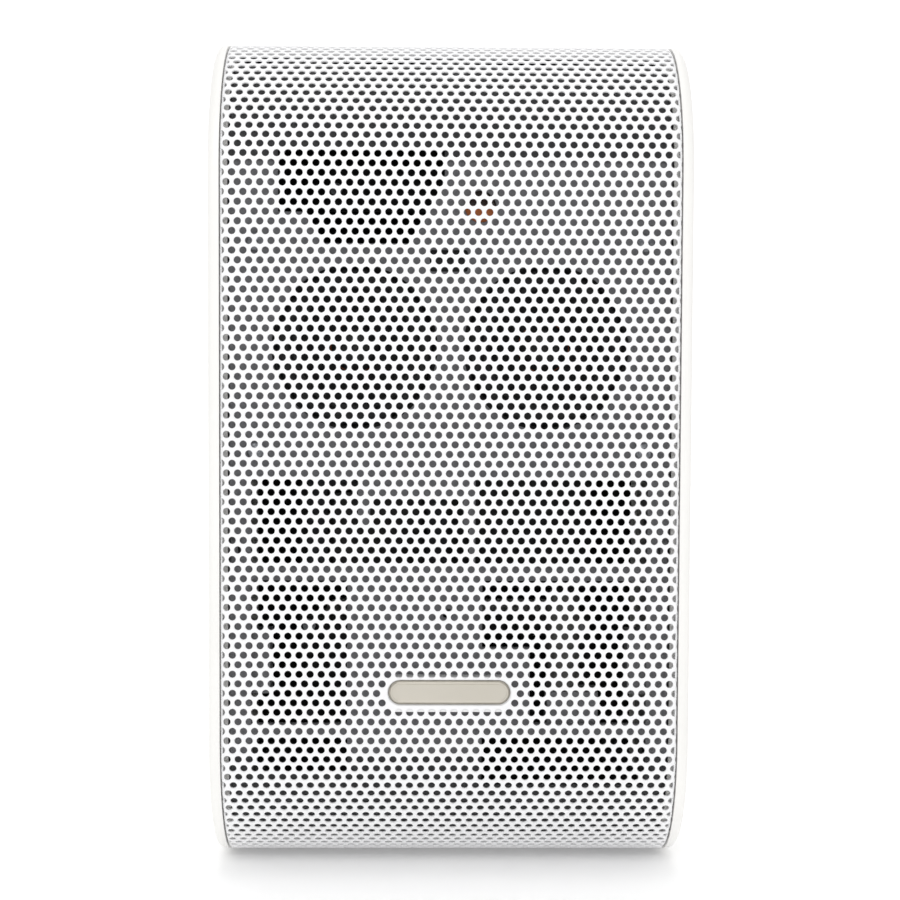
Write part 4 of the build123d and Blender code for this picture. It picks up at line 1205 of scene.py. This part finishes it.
# ------------------------------------------------------------------ fasteners and feet
@dataclass
class Screws:
    """Pan-head screws with a cross recess, at the corners where the frame has them."""

    recess_width: float = 0.7
    recess_depth: float = 0.9
    thread_pitch: float = 0.8
    thread_root: float = 0.8
    sides: int = 28

    def build(self) -> None:
        """Make the baffle's four screws and the rear housing's four."""
        self._set("baffle_screws", "baffle_screw_set", 2.5, 1.6, 1.25, Vector((0, -1, 0)))
        self._set("housing_screws", "housing_screw_set", 2.8, 2.0, 1.2, Vector((0, 1, 0)))

    def _set(self, node: str, name: str, head: float, rise: float, shank: float, outward: Vector) -> None:
        """Make one screw and place its twins at the corners of the group's box.

        Args:
            node: the frame's group of four screws.
            name: name of the new piece.
            head: radius of the head.
            rise: height of the head.
            shank: radius of the shank.
            outward: direction that the heads face.
        """
        low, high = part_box(node)
        length = (high.y - low.y) / MM
        screw = self._screw(f"{name}_blank", head, rise, shank, length)
        top = low.y if outward.y < 0 else high.y
        twins = []
        for x in (low.x + head * MM, high.x - head * MM):
            for z in (low.z + head * MM, high.z - head * MM):
                twin = Bench.twin(screw, f"{name}_{len(twins) + 1}")
                Bench.face_along(twin, Vector((x, top, z)), outward)
                twins.append(twin)
        bpy.data.objects.remove(screw)
        group = Bench.join(twins)
        Bench.smooth(group, 35)
        hand_over(group, name, ZINC_PLATED_STEEL, stands_for=[node])

    def _screw(self, name: str, head: float, rise: float, shank: float, length: float) -> bpy.types.Object:
        """Turn a screw with its head's top at the origin, and press the cross into it.

        Args:
            name: name of the blank.
            head: radius of the head.
            rise: height of the head.
            shank: radius of the shank.
            length: whole length.

        Returns:
            The screw, pointing up.
        """
        crown = [(head * math.cos(a), -rise + rise * (0.35 + 0.65 * math.sin(a))) for a in np.linspace(0, 1.25, 7)]
        thread = []
        root = shank * self.thread_root
        depth = -rise - 0.6
        while depth > -length + 1.2:
            thread += [(shank, depth), (root, depth - self.thread_pitch / 2)]
            depth -= self.thread_pitch
        profile = [(0.4, 0.0), *crown[::-1], (head, -rise), (shank, -rise), *thread, (root, -length + 1.0)]
        screw = Bench.turned(name, [*profile, (0.3, -length)], self.sides)
        for turn in (0, math.pi / 2):
            Bench.clear()
            bpy.ops.mesh.primitive_cube_add(size=1, location=(0, 0, 0))
            blade = bpy.context.object
            blade.scale = (head * 1.15 * MM, self.recess_width * MM, 2 * self.recess_depth * MM)
            blade.rotation_euler = (0, 0, turn)
            Bench.settle(blade)
            with Bench.editing(blade):
                Bench.pick(blade, "FACE", lambda middle: middle[:, 2] < -1e-5)
                bpy.ops.transform.resize(value=(0.35, 0.6, 1))
            Bench.modify(screw, "BOOLEAN", object=blade, operation="DIFFERENCE", solver="EXACT")
            bpy.data.objects.remove(blade)
        return screw


@dataclass
class Feet:
    """Four round rubber feet with two moulded rings on the side they stand on."""

    radius: float = 6.0
    groove: float = 0.35

    def build(self) -> None:
        """Model one foot and place its twins."""
        low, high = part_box("rubber_feet")
        height = (high.z - low.z) / MM
        r, g = self.radius, self.groove
        steps = ((0.86, 0.0), (0.8, g), (0.66, g), (0.6, 0.0), (0.46, 0.0), (0.4, g), (0.1, g))
        ground = [(r * share, depth) for share, depth in steps]
        foot = Bench.turned("foot_blank", [(0.6, height), (r - 0.1, height), (r, height - 0.2), (r, 0.25),
                                           (r - 0.08, 0.08), (r - 0.3, 0.0), *ground], 48)
        centres = [
            Vector((x, y, low.z))
            for x in (low.x + r * MM, high.x - r * MM)
            for y in (low.y + r * MM, high.y - r * MM)
        ]
        twins = []
        for centre in centres:
            twin = Bench.twin(foot, f"foot_{len(twins) + 1}")
            twin.data.transform(Matrix.Translation(centre))
            twins.append(twin)
        bpy.data.objects.remove(foot)
        group = Bench.join(twins)
        Bench.close_up(group)
        Bench.smooth(group, 35)
        hand_over(group, "foot_set", FOOT_RUBBER, stands_for=["rubber_feet"])


# ------------------------------------------------------------------ rear sockets and bracket insert
@dataclass
class RearFittings:
    """Spring contacts of the network jack, nickel ring of the audio jack and the threaded bracket insert."""

    contacts: int = 8
    contact_pitch: float = 1.02
    contact_width: float = 0.4
    contact_reach: float = 6.5
    contact_lean: float = 24.0
    contact_thick: float = 0.22
    contact_inset: float = 6.5
    contact_drop: float = 0.6
    mouth_chamfer: float = 0.25
    ring_outer: float = 2.9
    ring_inner: float = 1.85
    ring_rise: float = 0.35
    insert_outer: float = 4.0
    insert_minor: float = 2.6
    thread_depth: float = 0.5
    thread_pitch: float = 1.0

    def build(self) -> None:
        """Model the three fittings."""
        self._contacts()
        self._ring()
        self._insert()

    def _contacts(self) -> None:
        """Bend one spring contact and place its twins side by side under the cavity's roof."""
        low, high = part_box("network_jack")
        middle = (low + high) / 2
        Bench.clear()
        bpy.ops.mesh.primitive_cube_add(size=1, location=(0, 0, 0))
        blank = bpy.context.object
        blank.scale = (self.contact_width * MM, self.contact_reach * MM, self.contact_thick * MM)
        Bench.settle(blank)
        with Bench.editing(blank):
            Bench.pick(blank, "FACE", lambda centre: centre[:, 1] < -self.contact_reach / 2 * MM + FLAT_STEP)
            bpy.ops.mesh.extrude_region_move(TRANSFORM_OT_translate={"value": (0, -0.5 * MM, 0.35 * MM)})
            bpy.ops.mesh.extrude_region_move(TRANSFORM_OT_translate={"value": (0, -0.2 * MM, 0.6 * MM)})
        Bench.modify(blank, "BEVEL", width=0.05 * MM, segments=2)
        blank.data.transform(Matrix.Rotation(math.radians(-self.contact_lean), 4, "X"))
        twins = []
        for index in range(self.contacts):
            twin = Bench.twin(blank, f"contact_{index + 1}")
            offset = (index - (self.contacts - 1) / 2) * self.contact_pitch * MM
            place = (middle.x + offset, high.y - self.contact_inset * MM, middle.z - self.contact_drop * MM)
            twin.data.transform(Matrix.Translation(place))
            twins.append(twin)
        bpy.data.objects.remove(blank)
        group = Bench.join(twins)
        Bench.smooth(group, 35)
        hand_over(group, "network_contacts", GOLD_FLASH)

    def _ring(self) -> None:
        """Turn the ring round the audio jack's bore, with a rounded front edge."""
        low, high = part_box("aux_jack")
        middle = (low + high) / 2
        outer, inner, rise = self.ring_outer, self.ring_inner, self.ring_rise
        mouth = self.mouth_chamfer
        section = [(inner, 0.0), (outer, 0.0), (outer, rise - 0.1), (outer - 0.1, rise), (inner + mouth, rise),
                   (inner, rise - mouth), (inner, 0.0)]
        ring = Bench.turned("aux_ring_blank", section, 48)
        Bench.face_along(ring, Vector((middle.x, high.y, middle.z)), Vector((0, 1, 0)))
        Bench.close_up(ring)
        Bench.smooth(ring, 35)
        hand_over(ring, "aux_ring", NICKEL_PLATE)

    def _insert(self) -> None:
        """Turn the brass insert with its thread's crests and roots down the bore."""
        low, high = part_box("bracket_insert")
        middle = (low + high) / 2
        length = (high.y - low.y) / MM
        outer, minor, deep = self.insert_outer, self.insert_minor, self.thread_depth
        mouth = self.mouth_chamfer
        section = [(minor, 0.0), (outer, 0.0), (outer, length - mouth), (outer - mouth, length),
                   (minor + deep + 0.1, length)]
        height = length - 0.35
        while height - self.thread_pitch > 0.4:
            section += [(minor, height), (minor, height - 0.12), (minor + deep, height - self.thread_pitch / 2)]
            height -= self.thread_pitch
        section += [(minor, height), (minor, 0.0)]
        insert = Bench.turned("insert_blank", section, 48)
        Bench.face_along(insert, Vector((middle.x, low.y, middle.z)), Vector((0, 1, 0)))
        Bench.close_up(insert)
        Bench.smooth(insert, 35)
        hand_over(insert, "threaded_insert", TURNED_BRASS, stands_for=["bracket_insert"])


# ------------------------------------------------------------------ everything the frame already shapes well
def dress_frame() -> None:
    """Give every frame part that still shows the finish of its slot, and the winding its tape."""
    slots = {part["node"]: part["material_slot"] for part in frame["record"]["subparts"]}
    own = {"transformer_winding": WINDING_TAPE}
    for name, node in frame["nodes"].items():
        finish = own.get(name, SLOT_FINISHES[slots[name]])
        node.data.materials.clear()
        node.data.materials.append(finish.build())


# ------------------------------------------------------------------ studio
@dataclass
class Studio:
    """Camera, floor and soft light of a product studio."""

    lens_mm: float = 76.4
    eye: tuple[float, float, float] = (-0.0086, -0.5675, 0.1455)
    tilt_down: float = 3.02
    pan_right: float = 0.95
    roll: float = 0.25
    sky: float = 0.72
    wall: float = 1.6
    sweep: float = 0.6
    sweep_steps: int = 12
    table_size: float = 8.0
    wall_height: float = 2.0
    lamps: tuple[tuple[str, tuple, tuple, float, float], ...] = (
        ("overhead", (0.0, -0.1, 1.6), (0, 0, 0), 1.0, 3.0),
        ("key", (-0.15, -1.3, 0.9), (0, -0.05, 0.06), 0.6, 4.5),
        ("sweep_wash", (0.0, 0.9, 1.5), (0, 2.0, 0.4), 1.2, 7.0),
    )

    def build(self) -> None:
        """Make the camera, the floor and the lights."""
        self._camera()
        self._floor()
        self._lights()
        scene = bpy.context.scene
        scene.view_settings.view_transform = "Standard"

    def _camera(self) -> None:
        """Place the camera at the listener's side, a little above the middle."""
        data = bpy.data.cameras.new("camera")
        data.lens = self.lens_mm
        data.sensor_width = 36
        camera = bpy.data.objects.new("camera", data)
        turn = (
            Matrix.Rotation(math.radians(-self.pan_right), 4, "Z")
            @ Matrix.Rotation(math.radians(90 - self.tilt_down), 4, "X")
            @ Matrix.Rotation(math.radians(self.roll), 4, "Z")
        )
        camera.matrix_world = Matrix.Translation(self.eye) @ turn
        bpy.context.scene.collection.objects.link(camera)
        bpy.context.scene.camera = camera

    def _floor(self) -> None:
        """Lay a wide sheet of studio paper that sweeps up behind the speaker."""
        Bench.clear()
        bpy.ops.mesh.primitive_plane_add(size=self.table_size, location=(0, self.wall - self.table_size / 2, 0))
        floor = bpy.context.object
        floor.name = "floor"
        Bench.settle(floor)
        with Bench.editing(floor):
            Bench.pick(floor, "EDGE", lambda middle: middle[:, 1] > self.wall - 0.01)
            run = self.sweep * math.pi / 2 / self.sweep_steps
            for step in range(self.sweep_steps):
                angle = math.pi / 2 * (step + 0.5) / self.sweep_steps
                bpy.ops.mesh.extrude_region_move(
                    TRANSFORM_OT_translate={"value": (0, run * math.cos(angle), run * math.sin(angle))}
                )
            bpy.ops.mesh.extrude_region_move(TRANSFORM_OT_translate={"value": (0, 0, self.wall_height)})
        Bench.smooth(floor, 30)
        floor.data.materials.append(STUDIO_PAPER.build())

    def _lights(self) -> None:
        """Hang soft boxes overhead, before the speaker and over the sweep, under a white sky."""
        for name, place, aim, size, power in self.lamps:
            data = bpy.data.lights.new(name, "AREA")
            data.shape = "SQUARE"
            data.size = size
            data.energy = power
            lamp = bpy.data.objects.new(name, data)
            direction = Vector(aim) - Vector(place)
            lamp.matrix_world = Matrix.Translation(place) @ direction.to_track_quat("-Z", "Y").to_matrix().to_4x4()
            bpy.context.scene.collection.objects.link(lamp)
        world = bpy.data.worlds.new("studio")
        world.use_nodes = True
        background = world.node_tree.nodes["Background"]
        background.inputs["Color"].default_value = (1, 1, 1, 1)
        background.inputs["Strength"].default_value = self.sky
        bpy.context.scene.world = world


def main() -> None:
    """Build the studio, then the speaker from its front to its back."""
    Studio().build()
    dress_frame()
    PerforatedSheet().build()
    Casing().build()
    Badge().build()
    Drivers().build()
    Screws().build()
    Feet().build()
    RearFittings().build()


if __name__ == "__main__":
    main()
